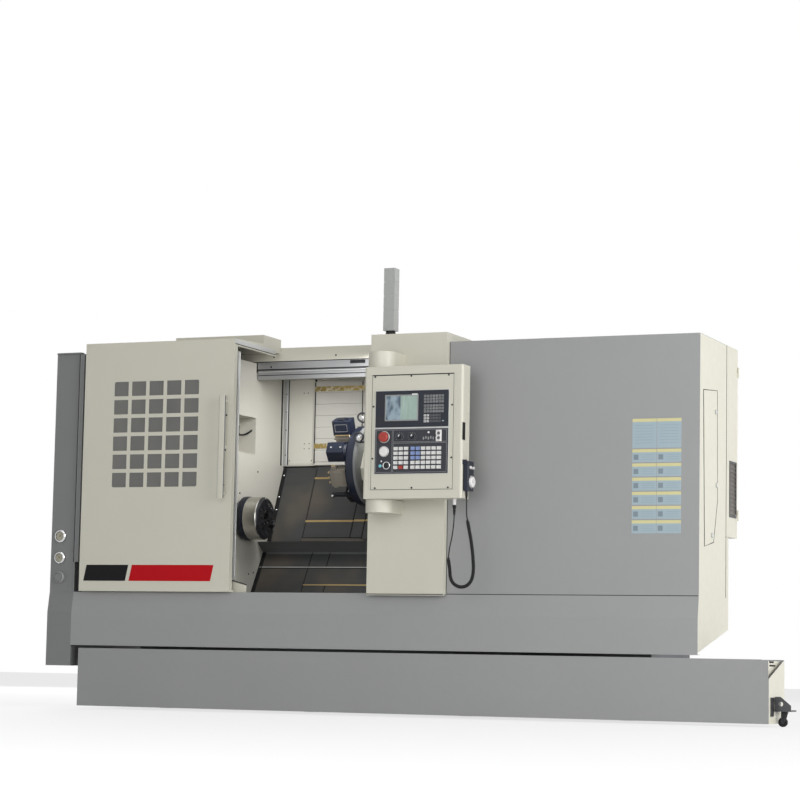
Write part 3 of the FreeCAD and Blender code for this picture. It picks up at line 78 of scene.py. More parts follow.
brushed = {"metal": 0.3, "stretch": (0.06, 1, 1)}
drawn = {"stretch": (0.04, 1, 1)}
finishes = {
    "creamPaint": look("cream_paint", (0.572, 0.556, 0.47), 0.4, 0.012, 420, 0.1, (0.65, 0.64, 0.57), 0.0025),
    "greyPaint": look("grey_paint", (0.279, 0.284, 0.281), 0.42, 0.014, 420, 0.12, (0.4, 0.41, 0.41), 0.0025),
    # a darker copy of the grey paint: painted shade for the left column and the other parts that carry it
    "shadedGreyPaint": look("grey_paint", (0.178, 0.182, 0.18), 0.42, 0.014, 420, 0.12, (0.32, 0.33, 0.33), 0.0025),
    "tankPaint": look("tank_paint", (0.266, 0.27, 0.267), 0.46, 0.025, 380, 0.16, (0.38, 0.39, 0.38), 0.0025),
    "liningPaint": look("interior_paint", (0.6, 0.585, 0.52), 0.34, 0.02, 420, 0.08, (0.66, 0.64, 0.58), 0.002),
    # the warm patches of the dark slope steel are a painted reflection
    "slopeSteel": look("dark_slope", (0.056, 0.058, 0.059), 0.4, 0.2, 160, 0.05, (0.17, 0.17, 0.17), 0.0012,
                       tint=(0.105, 0.09, 0.074), **brushed),
    # a paler copy of the slope steel: painted light on the shaded underside band of the ledge
    "litLedgeSteel": look("dark_slope", (0.15, 0.152, 0.154), 0.4, 0.1, 160, 0.05, (0.22, 0.22, 0.22), 0.0012,
                       **brushed),
    "castIron": look("machine_iron", (0.105, 0.11, 0.115), 0.62, 0.16, 420, 0.4, (0.22, 0.22, 0.23), 0.003,
                     metal=0.2),
    "groundSteel": look("ground_steel", (0.42, 0.425, 0.43), 0.28, 0.08, 500, 0.06, (0.6, 0.6, 0.6), 0.001,
                        metal=1.0, stretch=(0.03, 1, 1)),
    "warmSteel": look("dark_slope", (0.105, 0.092, 0.078), 0.4, 0.25, 160, 0.05, (0.25, 0.24, 0.22), 0.001,
                      metal=0.4, stretch=(0.06, 1, 1)),
    "ribbedSteel": look("interior_paint", (0.6, 0.59, 0.545), 0.34, 0.08, 300, 0.04, (0.7, 0.69, 0.64), 0.002,
                        metal=0.15, stretch=(0.02, 1, 1)),
    "blackOxide": look("black_oxide", (0.02, 0.021, 0.024), 0.38, 0.25, 600, 0.06, (0.14, 0.14, 0.15), 0.0015,
                       gloss=0.3, metal=0.4),
    "navyPaint": look("navy_paint", (0.01, 0.0135, 0.026), 0.34, 0.12, 700, 0.06, (0.06, 0.07, 0.11), 0.002,
                      gloss=0.3),
    # the pale patches and strong pale blotches of the crumpled strip are painted glints
    "goldStrip": look("brass_fit", (0.48, 0.35, 0.12), 0.34, 0.55, 90, 0.6, (0.75, 0.66, 0.42), 0.0008,
                      metal=0.5, tint=(0.8, 0.74, 0.55), tintScale=38, stretch=(0.4, 1, 1)),
    "railGrey": look("aluminium_trim", (0.34, 0.345, 0.35), 0.36, 0.05, 500, 0.04, (0.62, 0.62, 0.62), 0.001,
                     metal=0.5, **drawn),
    "brassStrip": look("brass_fit", (0.5, 0.36, 0.16), 0.36, 0.35, 260, 0.1, (0.68, 0.56, 0.34), 0.0008,
                       metal=0.6, stretch=(0.2, 1, 1)),
    "aluminiumTrim": look("aluminium_trim", (0.56, 0.565, 0.56), 0.36, 0.05, 500, 0.04, (0.75, 0.75, 0.75), 0.001,
                          metal=0.6, **drawn),
    "panelBlack": look("panel_black", (0.02, 0.023, 0.032), 0.45, 0.1, 1800, 0.1, (0.07, 0.07, 0.08), 0.0012,
                       gloss=0.25),
    "boardGrey": look("panel_black", (0.036, 0.037, 0.046), 0.42, 0.08, 1800, 0.08, (0.13, 0.13, 0.14), 0.0008,
                      gloss=0.25),
    "keyWhite": look("white_plastic", (0.66, 0.66, 0.64), 0.4, 0.02, 1500, 0.04, (0.75, 0.75, 0.75), 0.0006),
    "keyGrey": look("key_grey", (0.25, 0.26, 0.26), 0.42, 0.04, 1500, 0.04, (0.35, 0.36, 0.37), 0.0005),
    "keyDark": look("key_grey", (0.085, 0.088, 0.095), 0.42, 0.06, 1500, 0.04, (0.17, 0.17, 0.18), 0.0005),
    "keyBlue": look("key_grey", (0.2, 0.27, 0.5), 0.4, 0.03, 1500, 0.04, (0.3, 0.4, 0.6), 0.0006),
    "signalRed": look("red_plastic", (0.35, 0.03, 0.02), 0.24, 0.03, 1200, 0.02, (0.55, 0.12, 0.08), 0.001),
    "buttonWhite": look("white_plastic", (0.74, 0.72, 0.71), 0.26, 0.02, 1200, 0.02, (0.8, 0.8, 0.79), 0.001),
    "lampCyan": look("key_grey", (0.16, 0.55, 0.62), 0.2, 0.03, 1200, 0.02, (0.3, 0.65, 0.7), 0.0008),
    "blackRubber": look("black_rubber", (0.009, 0.009, 0.01), 0.55, 0.15, 1400, 0.12, (0.05, 0.05, 0.05), 0.001,
                        gloss=0.25),
    "stripeBlack": look("black_rubber", (0.004, 0.004, 0.005), 0.4, 0.05, 900, 0.02, (0.03, 0.03, 0.03), 0.0004,
                        gloss=0.15),
    "stripeRed": look("red_plastic", (0.44, 0.003, 0.008), 0.4, 0.03, 900, 0.02, (0.5, 0.05, 0.05), 0.0004,
                      gloss=0.15),
    "cardBlue": look("white_plastic", (0.31, 0.395, 0.44), 0.38, 0.03, 900, 0.02, (0.5, 0.6, 0.65), 0.0004),
    "cardYellow": look("brass_fit", (0.6, 0.56, 0.28), 0.38, 0.06, 900, 0.02, (0.7, 0.65, 0.4), 0.0004),
    "cardInk": look("key_grey", (0.17, 0.22, 0.25), 0.4, 0.06, 900, 0.02, (0.25, 0.3, 0.33), 0.0004),
    "cardLine": look("key_grey", (0.27, 0.34, 0.38), 0.4, 0.05, 900, 0.02, (0.35, 0.4, 0.42), 0.0003),
    "lampShell": look("lamp_plastic", (0.36, 0.37, 0.355), 0.3, 0.03, 1200, 0.03, (0.48, 0.48, 0.48), 0.003),
    "gaugeDial": look("lamp_plastic", (0.36, 0.34, 0.26), 0.3, 0.1, 700, 0.03, (0.42, 0.4, 0.33), 0.0005),
    "chrome": look("polished_steel", (0.66, 0.66, 0.66), 0.14, 0.03, 900, 0.02, (0.8, 0.8, 0.8), 0.0006, metal=1.0),
    "holderSteel": look("ground_steel", (0.2, 0.178, 0.145), 0.46, 0.25, 300, 0.1, (0.5, 0.48, 0.42), 0.002,
                        metal=0.45),
    "turnedSteel": look("polished_steel", (0.46, 0.45, 0.415), 0.25, 0.01, 900, 0.05, (0.6, 0.6, 0.56), 0.0015,
                        metal=1.0, smudge=0.1),
    "carrierIron": look("black_oxide", (0.05, 0.052, 0.055), 0.45, 0.15, 500, 0.1, (0.16, 0.16, 0.17), 0.0015,
                        metal=0.3),
}
made = {}


def connect(tree, value, socket):
    # a socket is linked, a colour or a number is written in
    if isinstance(value, bpy.types.NodeSocket):
        tree.links.new(value, socket)
    elif isinstance(value, tuple) and len(value) == 3 and socket.type == "RGBA":
        socket.default_value = (*value, 1)
    else:
        socket.default_value = value


def addNode(tree, kind, values=None, **settings):
    # a shader node with its options set, and its inputs linked or written in
    node = tree.nodes.new("ShaderNode" + kind)
    for name, value in settings.items():
        setattr(node, name, value)
    for key, value in (values or {}).items():
        connect(tree, value, node.inputs[key])
    return node


def newMaterial(name, values=None):
    material = bpy.data.materials.new(name)
    material.use_nodes = True
    tree = material.node_tree
    tree.nodes.clear()
    surface = addNode(tree, "BsdfPrincipled", values)
    addNode(tree, "OutputMaterial", {"Surface": surface.outputs["BSDF"]})
    return material, tree, surface


def placeOf(tree, **values):
    # the surface point in the piece's own frame, moved or stretched
    point = addNode(tree, "TexCoord").outputs["Object"]
    return addNode(tree, "Mapping", {**values, "Vector": point}).outputs["Vector"]


def noiseAt(tree, scale, stretch=(1, 1, 1), detail=3):
    values = {"Scale": scale, "Detail": detail, "Vector": placeOf(tree, Scale=stretch)}
    return addNode(tree, "TexNoise", values).outputs["Fac"]


def sumOf(tree, kind, first, second=0.0):
    return addNode(tree, "Math", {0: first, 1: second}, operation=kind).outputs[0]


def placeParts(tree, centre=(0, 0, 0)):
    # x, y and z of the surface point, measured from a centre
    return addNode(tree, "SeparateXYZ", {0: placeOf(tree, Location=[-c for c in centre])}).outputs


def spread(tree, value, low, high, fromLow=0.3, fromHigh=0.7):
    return addNode(tree, "MapRange", {"From Min": fromLow, "From Max": fromHigh, "To Min": low, "To Max": high,
                                      "Value": value}).outputs["Result"]


def blendColours(tree, share, first, second):
    return addNode(tree, "Mix", {0: share, 6: first, 7: second}, data_type="RGBA").outputs[2]


def blendNumbers(tree, share, first, second):
    return addNode(tree, "Mix", {0: share, 2: first, 3: second}).outputs[0]


# what every finish shares: the scales of its noises, the bands where they show and how strongly
pattern = {"broad": 1.6, "smudge": 24, "smudgeBand": (0.5, 0.75), "smudgeShare": 0.5, "tint": 3.0,
           "tintBand": (0.47, 0.66), "tintShare": 0.85, "smoother": 0.04, "rougher": 0.07,
           "edgeBand": (0.8, 0.97), "edgeSamples": 4}


def edgeMask(tree, radius):
    bevel = addNode(tree, "Bevel", {"Radius": radius}, samples=pattern["edgeSamples"])
    shape = addNode(tree, "NewGeometry")
    together = addNode(tree, "VectorMath", {0: bevel.outputs["Normal"], 1: shape.outputs["True Normal"]},
                       operation="DOT_PRODUCT")
    return spread(tree, together.outputs["Value"], 1, 0, *pattern["edgeBand"])


def addBump(tree, surface, height, strength, distance=0.0004):
    bump = addNode(tree, "Bump", {"Strength": strength, "Distance": distance, "Height": height})
    connect(tree, bump.outputs["Normal"], surface.inputs["Normal"])


def coatOf(tree, plan):
    # the colour and roughness of one finish: broad mottle, smudges, patches of painted reflection where a finish has
    # them, and paler edges, partly wear and partly a painted highlight
    colour = plan["colour"]
    dark = tuple(c * (1 - plan["mottle"]) for c in colour)
    light = tuple(c * (1 + plan["mottle"]) for c in colour)
    broad = noiseAt(tree, pattern["broad"], detail=4)
    smudge = noiseAt(tree, pattern["smudge"], plan.get("stretch", (1, 1, 1)), detail=5)
    tone = blendColours(tree, spread(tree, broad, 0, 1), dark, light)
    darker = spread(tree, smudge, 0, pattern["smudgeShare"], *pattern["smudgeBand"])
    tone = blendColours(tree, darker, tone, dark)
    # patches of a second colour, where a finish has one: a painted reflection or glint
    if "tint" in plan:
        reflectionNoise = noiseAt(tree, plan.get("tintScale", pattern["tint"]), detail=2)
        tinted = spread(tree, reflectionNoise, 0, pattern["tintShare"], *pattern["tintBand"])
        tone = blendColours(tree, tinted, tone, plan["tint"])
    # paler edges: rubbed wear together with a painted highlight along every edge
    tone = blendColours(tree, edgeMask(tree, plan["round"]), tone, plan["edgeWearAndHighlight"])
    swing = plan.get("smudge", 1.0)
    return tone, spread(tree, smudge, plan["rough"] - pattern["smoother"] * swing,
                        plan["rough"] + pattern["rougher"] * swing)


def layeredFinish(name, base, layers=()):
    # layers are pairs of a finish and a function that gives 1 where it shows
    if name in made:
        return made[name]
    plan = finishes[base]
    material, tree, surface = newMaterial(name, {"Specular IOR Level": plan.get("gloss", 0.5)})
    tone, rough = coatOf(tree, plan)
    metal = plan.get("metal", 0.0)
    for layer, mask in layers:
        share = mask(tree)
        nextTone, nextRough = coatOf(tree, finishes[layer])
        tone = blendColours(tree, share, tone, nextTone)
        rough = blendNumbers(tree, share, rough, nextRough)
        metal = blendNumbers(tree, share, metal, finishes[layer].get("metal", 0.0))
    for value, socket in ((tone, "Base Color"), (rough, "Roughness"), (metal, "Metallic")):
        connect(tree, value, surface.inputs[socket])
    addBump(tree, surface, noiseAt(tree, plan["grain"], plan.get("stretch", (1, 1, 1))), plan["bump"])
    made[name] = material
    return material


def dress(piece, material):
    if isinstance(material, str):
        material = layeredFinish(material, material)
    piece.data.materials.clear()
    piece.data.materials.append(material)


# the pendant's curled lead, from the plug under the panel down and back up to the pendant
pendantCord = {"depth": -0.85, "wire": 0.0035, "curl": 0.0065, "turns": 92, "opening": 2.0, "straight": 0.007,
               "length": 4.1, "perTurn": 14}
leadOut = [(0.431, 1.136), (0.431, 1.096), (0.427, 1.04), (0.418, 0.98), (0.406, 0.93), (0.402, 0.892)]
curlRoute = [(0.402, 0.892), (0.4, 0.873), (0.405, 0.842), (0.411, 0.81), (0.412, 0.779), (0.421, 0.748),
             (0.445, 0.725), (0.479, 0.715), (0.513, 0.724), (0.537, 0.749), (0.547, 0.784), (0.549, 0.826),
             (0.545, 0.878), (0.538, 0.936), (0.528, 0.994), (0.516, 1.046), (0.506, 1.098)]
leadBack = [(0.506, 1.098), (0.502, 1.12), (0.502, 1.226)]


def splineCurve(name, points, thickness=0.0, resolution=12):
    data = bpy.data.curves.new(name, "CURVE")
    data.dimensions = "3D"
    data.bevel_depth = thickness
    data.bevel_resolution = 2
    data.use_fill_caps = True
    spline = data.splines.new("NURBS")
    spline.points.add(len(points) - 1)
    for spot, place in zip(spline.points, points):
        spot.co = (*place, 1)
    spline.order_u = 3
    spline.use_endpoint_u = True
    spline.resolution_u = resolution
    curve = bpy.data.objects.new(name, data)
    bpy.context.scene.collection.objects.link(curve)
    return curve


def centreLine(points):
    guide = splineCurve("guide", points)
    line = bpy.data.meshes.new_from_object(guide)
    spots = [vertex.co.copy() for vertex in line.vertices]
    bpy.data.objects.remove(guide)
    bpy.data.meshes.remove(line)
    return spots


def walkAlong(spots, distance):
    for here, there in zip(spots, spots[1:]):
        step = (there - here).length
        if distance <= step or there is spots[-1]:
            return here + (there - here) * min(1, distance / step), (there - here).normalized()
        distance -= step


def woundPoints(spots, plan):
    total = sum((b - a).length for a, b in zip(spots, spots[1:]))
    advance = (total - plan["straight"] * 2) / (plan["turns"] + plan["opening"])
    sideways = Vector((0, 1, 0))
    count = round(plan["turns"] * plan["perTurn"])
    swell = 1 / math.cos(math.pi / plan["perTurn"])  # the spline cuts inside its points
    wound = []
    for i in range(count + 1):
        turn = i / plan["perTurn"]
        left = plan["turns"] - turn
        share = min(1, max(0, min(turn, left) / plan["opening"]))
        radius = plan["curl"] * swell * share ** 2 * (3 - 2 * share)
        extra = (min(turn, plan["opening"]) + max(0, plan["opening"] - left)) / 2
        centre, heading = walkAlong(spots, plan["straight"] + advance * (turn + extra))
        across = sideways.cross(heading)
        angle = turn * math.tau
        wound.append(centre + (across * math.cos(angle) + sideways * math.sin(angle)) * radius)
    return wound


def makeCord(plan):
    def at(route):
        return [Vector((x, plan["depth"], z)) for x, z in route]
    wound = woundPoints(centreLine(at(curlRoute)), plan)
    points = at(leadOut)[:-1] + wound + at(leadBack)[1:]
    cord = splineCurve("pendant_lead", points, plan["wire"], resolution=3)
    dress(cord, "blackRubber")
    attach(cord, "panel_unit")
    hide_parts("cord_leads", "cord_curl")


makeCord(pendantCord)
print("stage: camera and cord made")

# where on a node a second finish shows: places in metres, the top holder's angle in degrees
zones = {"ledgeFoot": 0.9415, "ledgeTop": 1.0165, "chuckFace": -1.036, "discBack": -0.428, "tankEnd": 2.144,
         "carrier": 2.1452, "plugMetal": 1.166, "gaugeChrome": 0.83, "holderFoot": 0.2045, "topHolder": 112.5,
         "turretCentre": (0, -0.0693, 1.4561), "chuckCentre": (0, -0.21, 1.14)}
chuckRings = {"scale": 900, "strength": 0.06, "depth": 0.0003, "anisotropic": 0.5}


def beyond(axis, limit):
    return lambda tree: sumOf(tree, "GREATER_THAN", placeParts(tree)[axis], zones[limit])


def inSector(low, high):
    # 1 between two angles round the turret's axis, in degrees
    def mask(tree):
        parts = placeParts(tree, zones["turretCentre"])
        angle = sumOf(tree, "ARCTAN2", parts[2], parts[1])
        whole = sumOf(tree, "MODULO", sumOf(tree, "ADD", angle, math.tau), math.tau)
        above = sumOf(tree, "GREATER_THAN", whole, math.radians(low))
        below = sumOf(tree, "LESS_THAN", whole, math.radians(high))
        return sumOf(tree, "MULTIPLY", above, below)
    return mask


def footOfTopHolder(tree):
    # the holder that stands up beyond the rim is painted only above its foot
    parts = placeParts(tree, zones["turretCentre"])
    lean = math.radians(zones["topHolder"])
    across = sumOf(tree, "MULTIPLY", parts[1], math.cos(lean))
    high = sumOf(tree, "MULTIPLY", parts[2], math.sin(lean))
    low = sumOf(tree, "LESS_THAN", sumOf(tree, "ADD", across, high), zones["holderFoot"])
    return sumOf(tree, "MULTIPLY", low, inSector(90, 135)(tree))


def makeChuckSteel(plan):
    # turned steel: fine rings round the axis on the face and along the side
    material = layeredFinish("chuckSteel", "turnedSteel", [("blackOxide", beyond(0, "chuckFace"))])
    tree = material.node_tree
    surface = tree.nodes["Principled BSDF"]
    parts = placeParts(tree, zones["chuckCentre"])
    squares = [sumOf(tree, "POWER", parts[axis], 2.0) for axis in (1, 2)]
    radius = sumOf(tree, "SQRT", sumOf(tree, "ADD", *squares))
    rings = addNode(tree, "TexNoise", noise_dimensions="1D")
    connect(tree, plan["scale"], rings.inputs["Scale"])
    connect(tree, sumOf(tree, "ADD", radius, parts[0]), rings.inputs["W"])
    addBump(tree, surface, rings.outputs["Fac"], plan["strength"], plan["depth"])
    surface.inputs["Anisotropic"].default_value = plan["anisotropic"]
    return material


def makeDoorGlass(plan):
    # tinted sheet with faint wipe marks, through which the inside shows dimly
    material, tree, surface = newMaterial("doorGlass", {"Transmission Weight": plan["clear"], "IOR": plan["bend"],
                                                        "Coat Weight": plan["coat"]})
    wipes = noiseAt(tree, 5, (1, 1, 0.4), detail=4)
    tone = blendColours(tree, spread(tree, wipes, 0, 1), plan["dark"], plan["pale"])
    connect(tree, tone, surface.inputs["Base Color"])
    connect(tree, spread(tree, wipes, plan["rough"], plan["rough"] + 0.1), surface.inputs["Roughness"])
    return material


doorGlass = {"dark": (0.15, 0.148, 0.138), "pale": (0.195, 0.192, 0.178), "rough": 0.1, "clear": 0.35,
             "bend": 1.49, "coat": 0.3}

# what the CAD nodes are painted with: first the plain finishes, then the nodes that show more than one
plainNodes = {
    "castIron": "bed levelling_feet headstock spindle_pulley motor_pulley saddle cross_slide",
    "groundSteel": "spindle_bearings spindle z_screw tailstock_quill",
    "blackOxide": "spindle_motor chuck_jaw_1 chuck_jaw_2 chuck_jaw_3 key_switch castor_fork",
    "blackRubber": "drive_belt castor_wheel", "navyPaint": "chuck_backplate pendant", "slopeSteel": "way_shield",
    "ribbedSteel": "back_shield", "liningPaint": "work_lining", "shadedGreyPaint": "left_end_cover",
    "railGrey": "top_rails", "greyPaint": "lower_guard headstock_guard right_cover", "lampShell": "signal_lamp",
    "creamPaint": "turret_housing tailstock rear_cover pillar right_side electrical_cabinet cabinet_door door"
                  " door_handle panel_box panel_brackets",
    "panelBlack": "cnc_unit override_knob_1 override_knob_2", "boardGrey": "control_board",
    "signalRed": "estop_button", "buttonWhite": "start_button handwheel pendant_knob_1 pendant_knob_2",
}
layeredNodes = {
    "turret_disc": ("turretPaint", "navyPaint", [("shadedGreyPaint", beyond(0, "discBack"))]),
    # the band between ledgeFoot and ledgeTop is painted paler, as painted light on its shaded underside
    "slant_cover": ("slantCoverPaint", "slopeSteel", [("litLedgeSteel", beyond(2, "ledgeFoot")),
                                                      ("slopeSteel", beyond(2, "ledgeTop"))]),
    "gauges": ("gaugeRings", "greyPaint", [("chrome", beyond(2, "gaugeChrome"))]),
    "coolant_tank": ("tankSet", "tankPaint", [("creamPaint", beyond(0, "tankEnd")),
                                              ("carrierIron", beyond(0, "carrier"))]),
    "cord_connector": ("plugShell", "blackRubber", [("buttonWhite", beyond(2, "plugMetal"))]),
    "tool_holders": ("holderSet", "navyPaint", [("groundSteel", inSector(45, 90)), ("holderSteel", footOfTopHolder),
                                                ("holderSteel", inSector(180, 225)),
                                                ("blackOxide", inSector(225, 270))]),
}
for paint, names in plainNodes.items():
    for name in names.split():
        dress(nodes[name], paint)
for name, spec in layeredNodes.items():
    dress(nodes[name], layeredFinish(*spec))
dress(nodes["chuck_body"], makeChuckSteel(chuckRings))
dress(nodes["door_glass"], makeDoorGlass(doorGlass))
print("stage: nodes painted")


def clearSelection():
    if bpy.context.mode != "OBJECT":
        bpy.ops.object.mode_set(mode="OBJECT")
    bpy.ops.object.select_all(action="DESELECT")


def activate(piece):
    clearSelection()
    piece.select_set(True)
    bpy.context.view_layer.objects.active = piece


def applyPlace(piece):
    activate(piece)
    bpy.ops.object.transform_apply(location=True, rotation=True, scale=True)


def newPiece(name):
    piece = bpy.context.object
    piece.name = name
    applyPlace(piece)
    return piece


def startBox(name, low, high):
    clearSelection()
    bpy.ops.mesh.primitive_cube_add(size=1, location=[(a + b) / 2 for a, b in zip(low, high)])
    bpy.context.object.scale = [b - a for a, b in zip(low, high)]
    return newPiece(name)


# the six directions, and how a round piece or a copied model is turned to face them
towards = {"X": (1, 0, 0), "-X": (-1, 0, 0), "Y": (0, 1, 0), "-Y": (0, -1, 0), "Z": (0, 0, 1), "-Z": (0, 0, -1)}
turnTo = {"X": (0, math.pi / 2, 0), "-X": (0, -math.pi / 2, 0), "Y": (-math.pi / 2, 0, 0),
          "-Y": (math.pi / 2, 0, 0), "Z": (0, 0, 0)}


def startRound(name, centre, radius, depth, axis="-Y", sides=32):
    clearSelection()
    bpy.ops.mesh.primitive_cylinder_add(vertices=sides, radius=radius, depth=depth, location=centre,
                                        rotation=turnTo[axis])
    return newPiece(name)


def startRing(name, centre, radius, thickness, axis="-Y", sides=40):
    clearSelection()
    bpy.ops.mesh.primitive_torus_add(major_radius=radius, minor_radius=thickness, major_segments=sides,
                                     minor_segments=10, location=centre, rotation=turnTo[axis])
    return newPiece(name)


def facing(side, strict=0.9):
    ahead = Vector(towards[side])
    return lambda centre, normal: normal.dot(ahead) > strict


def pick(piece, test):
    # opens edit mode with the faces chosen: those that face one direction, or pass a test
    if isinstance(test, str):
        test = facing(test)
    activate(piece)
    bpy.ops.object.mode_set(mode="EDIT")
    bpy.ops.mesh.select_mode(type="FACE")
    bpy.ops.mesh.select_all(action="DESELECT")
    bpy.ops.object.mode_set(mode="OBJECT")
    for face in piece.data.polygons:
        face.select = bool(test(face.center, face.normal))
    bpy.ops.object.mode_set(mode="EDIT")


def raiseFace(piece, test, border, rise, draft=0.0003):
    # a border inside the chosen face, and the middle raised, or sunk when rise is negative
    pick(piece, test)
    bpy.ops.mesh.inset(thickness=border, depth=0)
    bpy.ops.mesh.inset(thickness=draft, depth=rise)
    bpy.ops.object.mode_set(mode="OBJECT")
    return piece


def scaleFace(piece, test, factor, centre):
    pick(piece, test)
    bpy.ops.transform.resize(value=factor, center_override=centre)
    bpy.ops.object.mode_set(mode="OBJECT")
    return piece


def shiftFace(piece, test, step):
    pick(piece, test)
    bpy.ops.transform.translate(value=step)
    bpy.ops.object.mode_set(mode="OBJECT")
    return piece


def softEdges(piece, width, segments=2, angle=35):
    bevel = piece.modifiers.new("soft", "BEVEL")
    bevel.width = width
    bevel.segments = segments
    bevel.limit_method = "ANGLE"
    bevel.angle_limit = math.radians(angle)
    activate(piece)
    bpy.ops.object.modifier_apply(modifier=bevel.name)
    return piece


# the slope's own frame: X stays, then back and up from the spindle axis; and the slant below the ledge
slope = {"lean": math.radians(24), "y": -0.21, "z": 1.14}
lowerSlant = {"lean": math.radians(32.1), "y": -0.068, "z": 0.7068}


def leanOn(piece, plane):
    piece.rotation_euler = (-plane["lean"], 0, 0)
    piece.location = (0, plane["y"], plane["z"])
    applyPlace(piece)
    return piece


def onPlane(plane, x, back, up):
    c, s = math.cos(plane["lean"]), math.sin(plane["lean"])
    return (x, plane["y"] + back * c + up * s, plane["z"] - back * s + up * c)


def settle(piece, body, paint, smooth=40):
    applyPlace(piece)
    bpy.ops.object.shade_smooth_by_angle(angle=math.radians(smooth))
    if piece.type == "MESH":
        level = piece.modifiers.new("level", "WEIGHTED_NORMAL")
        level.keep_sharp = True
        bpy.ops.object.modifier_apply(modifier=level.name)
    dress(piece, paint)
    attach(piece, body)
    return piece


def plate(name, low, high, front, border=0.003, rise=0.0005, edge=0.0004, draft=0.0003, segments=2):
    # a small sheet with a stepped face and broken edges
    return softEdges(raiseFace(startBox(name, low, high), front, border, rise, draft), edge, segments)


def layPlates(body, paint, *rows, plane=None):
    # each row: name, low and high corner, the side its stepped face is on, border, rise, edge
    for row in rows:
        piece = plate(*row)
        settle(leanOn(piece, plane) if plane else piece, body, paint)


def openFrame(name, low, high, axis, border):
    # a flat frame: both large faces are inset and their middles bridged into an opening
    piece = startBox(name, low, high)
    pick(piece, lambda centre, normal: abs(normal[axis]) > 0.9)
    bpy.ops.mesh.inset(thickness=border, depth=0)
    bpy.ops.mesh.bridge_edge_loops()
    bpy.ops.object.mode_set(mode="OBJECT")
    return piece


def joinAll(name, pieces):
    clearSelection()
    for piece in pieces:
        piece.select_set(True)
    bpy.context.view_layer.objects.active = pieces[0]
    if len(pieces) > 1:
        bpy.ops.object.join()
    pieces[0].name = name
    return pieces[0]


def copyTo(model, place, turn=(0, 0, 0)):
    twin = model.copy()
    twin.data = model.data.copy()
    bpy.context.scene.collection.objects.link(twin)
    twin.location = place
    twin.rotation_euler = turn
    return twin


def scatter(name, model, places, body, paint, turn="Z"):
    # copies of a model, by its key or the piece itself, joined into one piece
    copies = [copyTo(models.get(model, model), place, turnTo.get(turn, turn)) for place in places]
    return settle(joinAll(name, copies), body, paint)


def bentPipe(name, points, radius):
    pipe = splineCurve(name, points, radius)
    activate(pipe)
    bpy.ops.object.convert(target="MESH")
    return bpy.context.object


def makeScrew(name, radius, height, sides=12):
    screw = startRound(name, (0, 0, height / 2), radius, height, "Z", sides)
    return softEdges(raiseFace(screw, "Z", radius * 0.4, -height * 0.5), radius * 0.12, 1)


models = {"screw": makeScrew("screw_model", 0.0055, 0.003), "fineScrew": makeScrew("fine_screw_model", 0.0035, 0.002),
          "bolt": makeScrew("bolt_model", 0.008, 0.006)}


def joinPlates(name, body, paint, rows, plane=None):
    # each row: low and high corner, side, border, rise, edge; the plates are one piece, on a plane if given
    group = joinAll(name, [plate("part", *row) for row in rows])
    settle(leanOn(group, plane) if plane else group, body, paint)


# door: plain colour stripes, screws by the handle, dark strips beside the handle as painted shade, the seal and
# profile behind its right edge
doorTrim = {"front": -0.68, "stripeHeight": (0.748, 0.842), "stripeLean": 0.02, "sealHeight": (0.768, 2.09),
            "stripes": (("dark", -1.986, -1.706, "stripeBlack"), ("red", -1.682, -1.146, "stripeRed")),
            "screws": [(-1.067, 1.711), (-1.075, 1.304), (-1.071, 1.508)]}
low, high = doorTrim["stripeHeight"]
for name, x0, x1, paint in doorTrim["stripes"]:
    stripe = startBox("door_stripe_" + name, (x0, doorTrim["front"] - 0.0008, low),
                      (x1, doorTrim["front"] + 0.0005, high))
    shiftFace(stripe, "Z", (doorTrim["stripeLean"], 0, 0))
    raiseFace(stripe, "-Y", 0.003, 0.0003)
    settle(softEdges(stripe, 0.0003, 1), "door_unit", paint)
scatter("door_handle_screws", "screw", [(x, doorTrim["front"], z) for x, z in doorTrim["screws"]], "door_unit",
        "blackOxide", "-Y")
# thin dark strips beside the handle, wider on its right: painted shade along the handle's sides
handleShades = [raiseFace(startBox("trim", (x0, -0.7368, 1.226), (x1, -0.7264, 1.822)), "Z", 0.0002, -0.0004)
         for x0, x1 in ((-1.088, -1.0868), (-1.0522, -1.05))]
settle(softEdges(joinAll("door_handle_shade_strips", handleShades), 0.0003, 1), "door_unit", "shadedGreyPaint")
low, high = doorTrim["sealHeight"]
layPlates("door_unit", "blackRubber",
          ("door_seal", (-1.066, -0.6402, low), (-1.0275, -0.6285, high), "X", 0.0025, -0.0015, 0.0008))
layPlates("door_unit", "aluminiumTrim",
          ("door_edge_profile", (-1.066, -0.6285, low), (-1.0262, -0.598, high), "X", 0.006, -0.0012, 0.001))

# the right end of the door's roof: its aluminium profile, the dark gap and the pale lip below it
roofEnd = {"left": -1.026, "right": -1.024, "front": -0.676, "back": -0.134,
           "strips": (("profile", 2.1315, 2.157, "aluminiumTrim"), ("gap", 2.127, 2.1312, "blackRubber"),
                      ("lip", 2.1185, 2.1268, "creamPaint"))}
for part, low, high, paint in roofEnd["strips"]:
    layPlates("door_unit", paint, ("door_roof_" + part, (roofEnd["left"], roofEnd["front"], low),
                                   (roofEnd["right"], roofEnd["back"], high), "X", 0.0012, 0.0004, 0.0003))

# sill: the guide at the work area's left corner, a black slanting strip above it as painted shadow of the gap, and
# the rubber buffer beside the column
guide = startBox("sill_guide", (-1.06, -0.594, 0.6838), (-0.956, -0.5865, 0.757))
scaleFace(guide, "X", (1, 1, 0.62), (-0.956, -0.59, 0.6838))
raiseFace(guide, "-Y", 0.006, 0.0012)
settle(softEdges(guide, 0.0012), "machine", "creamPaint")
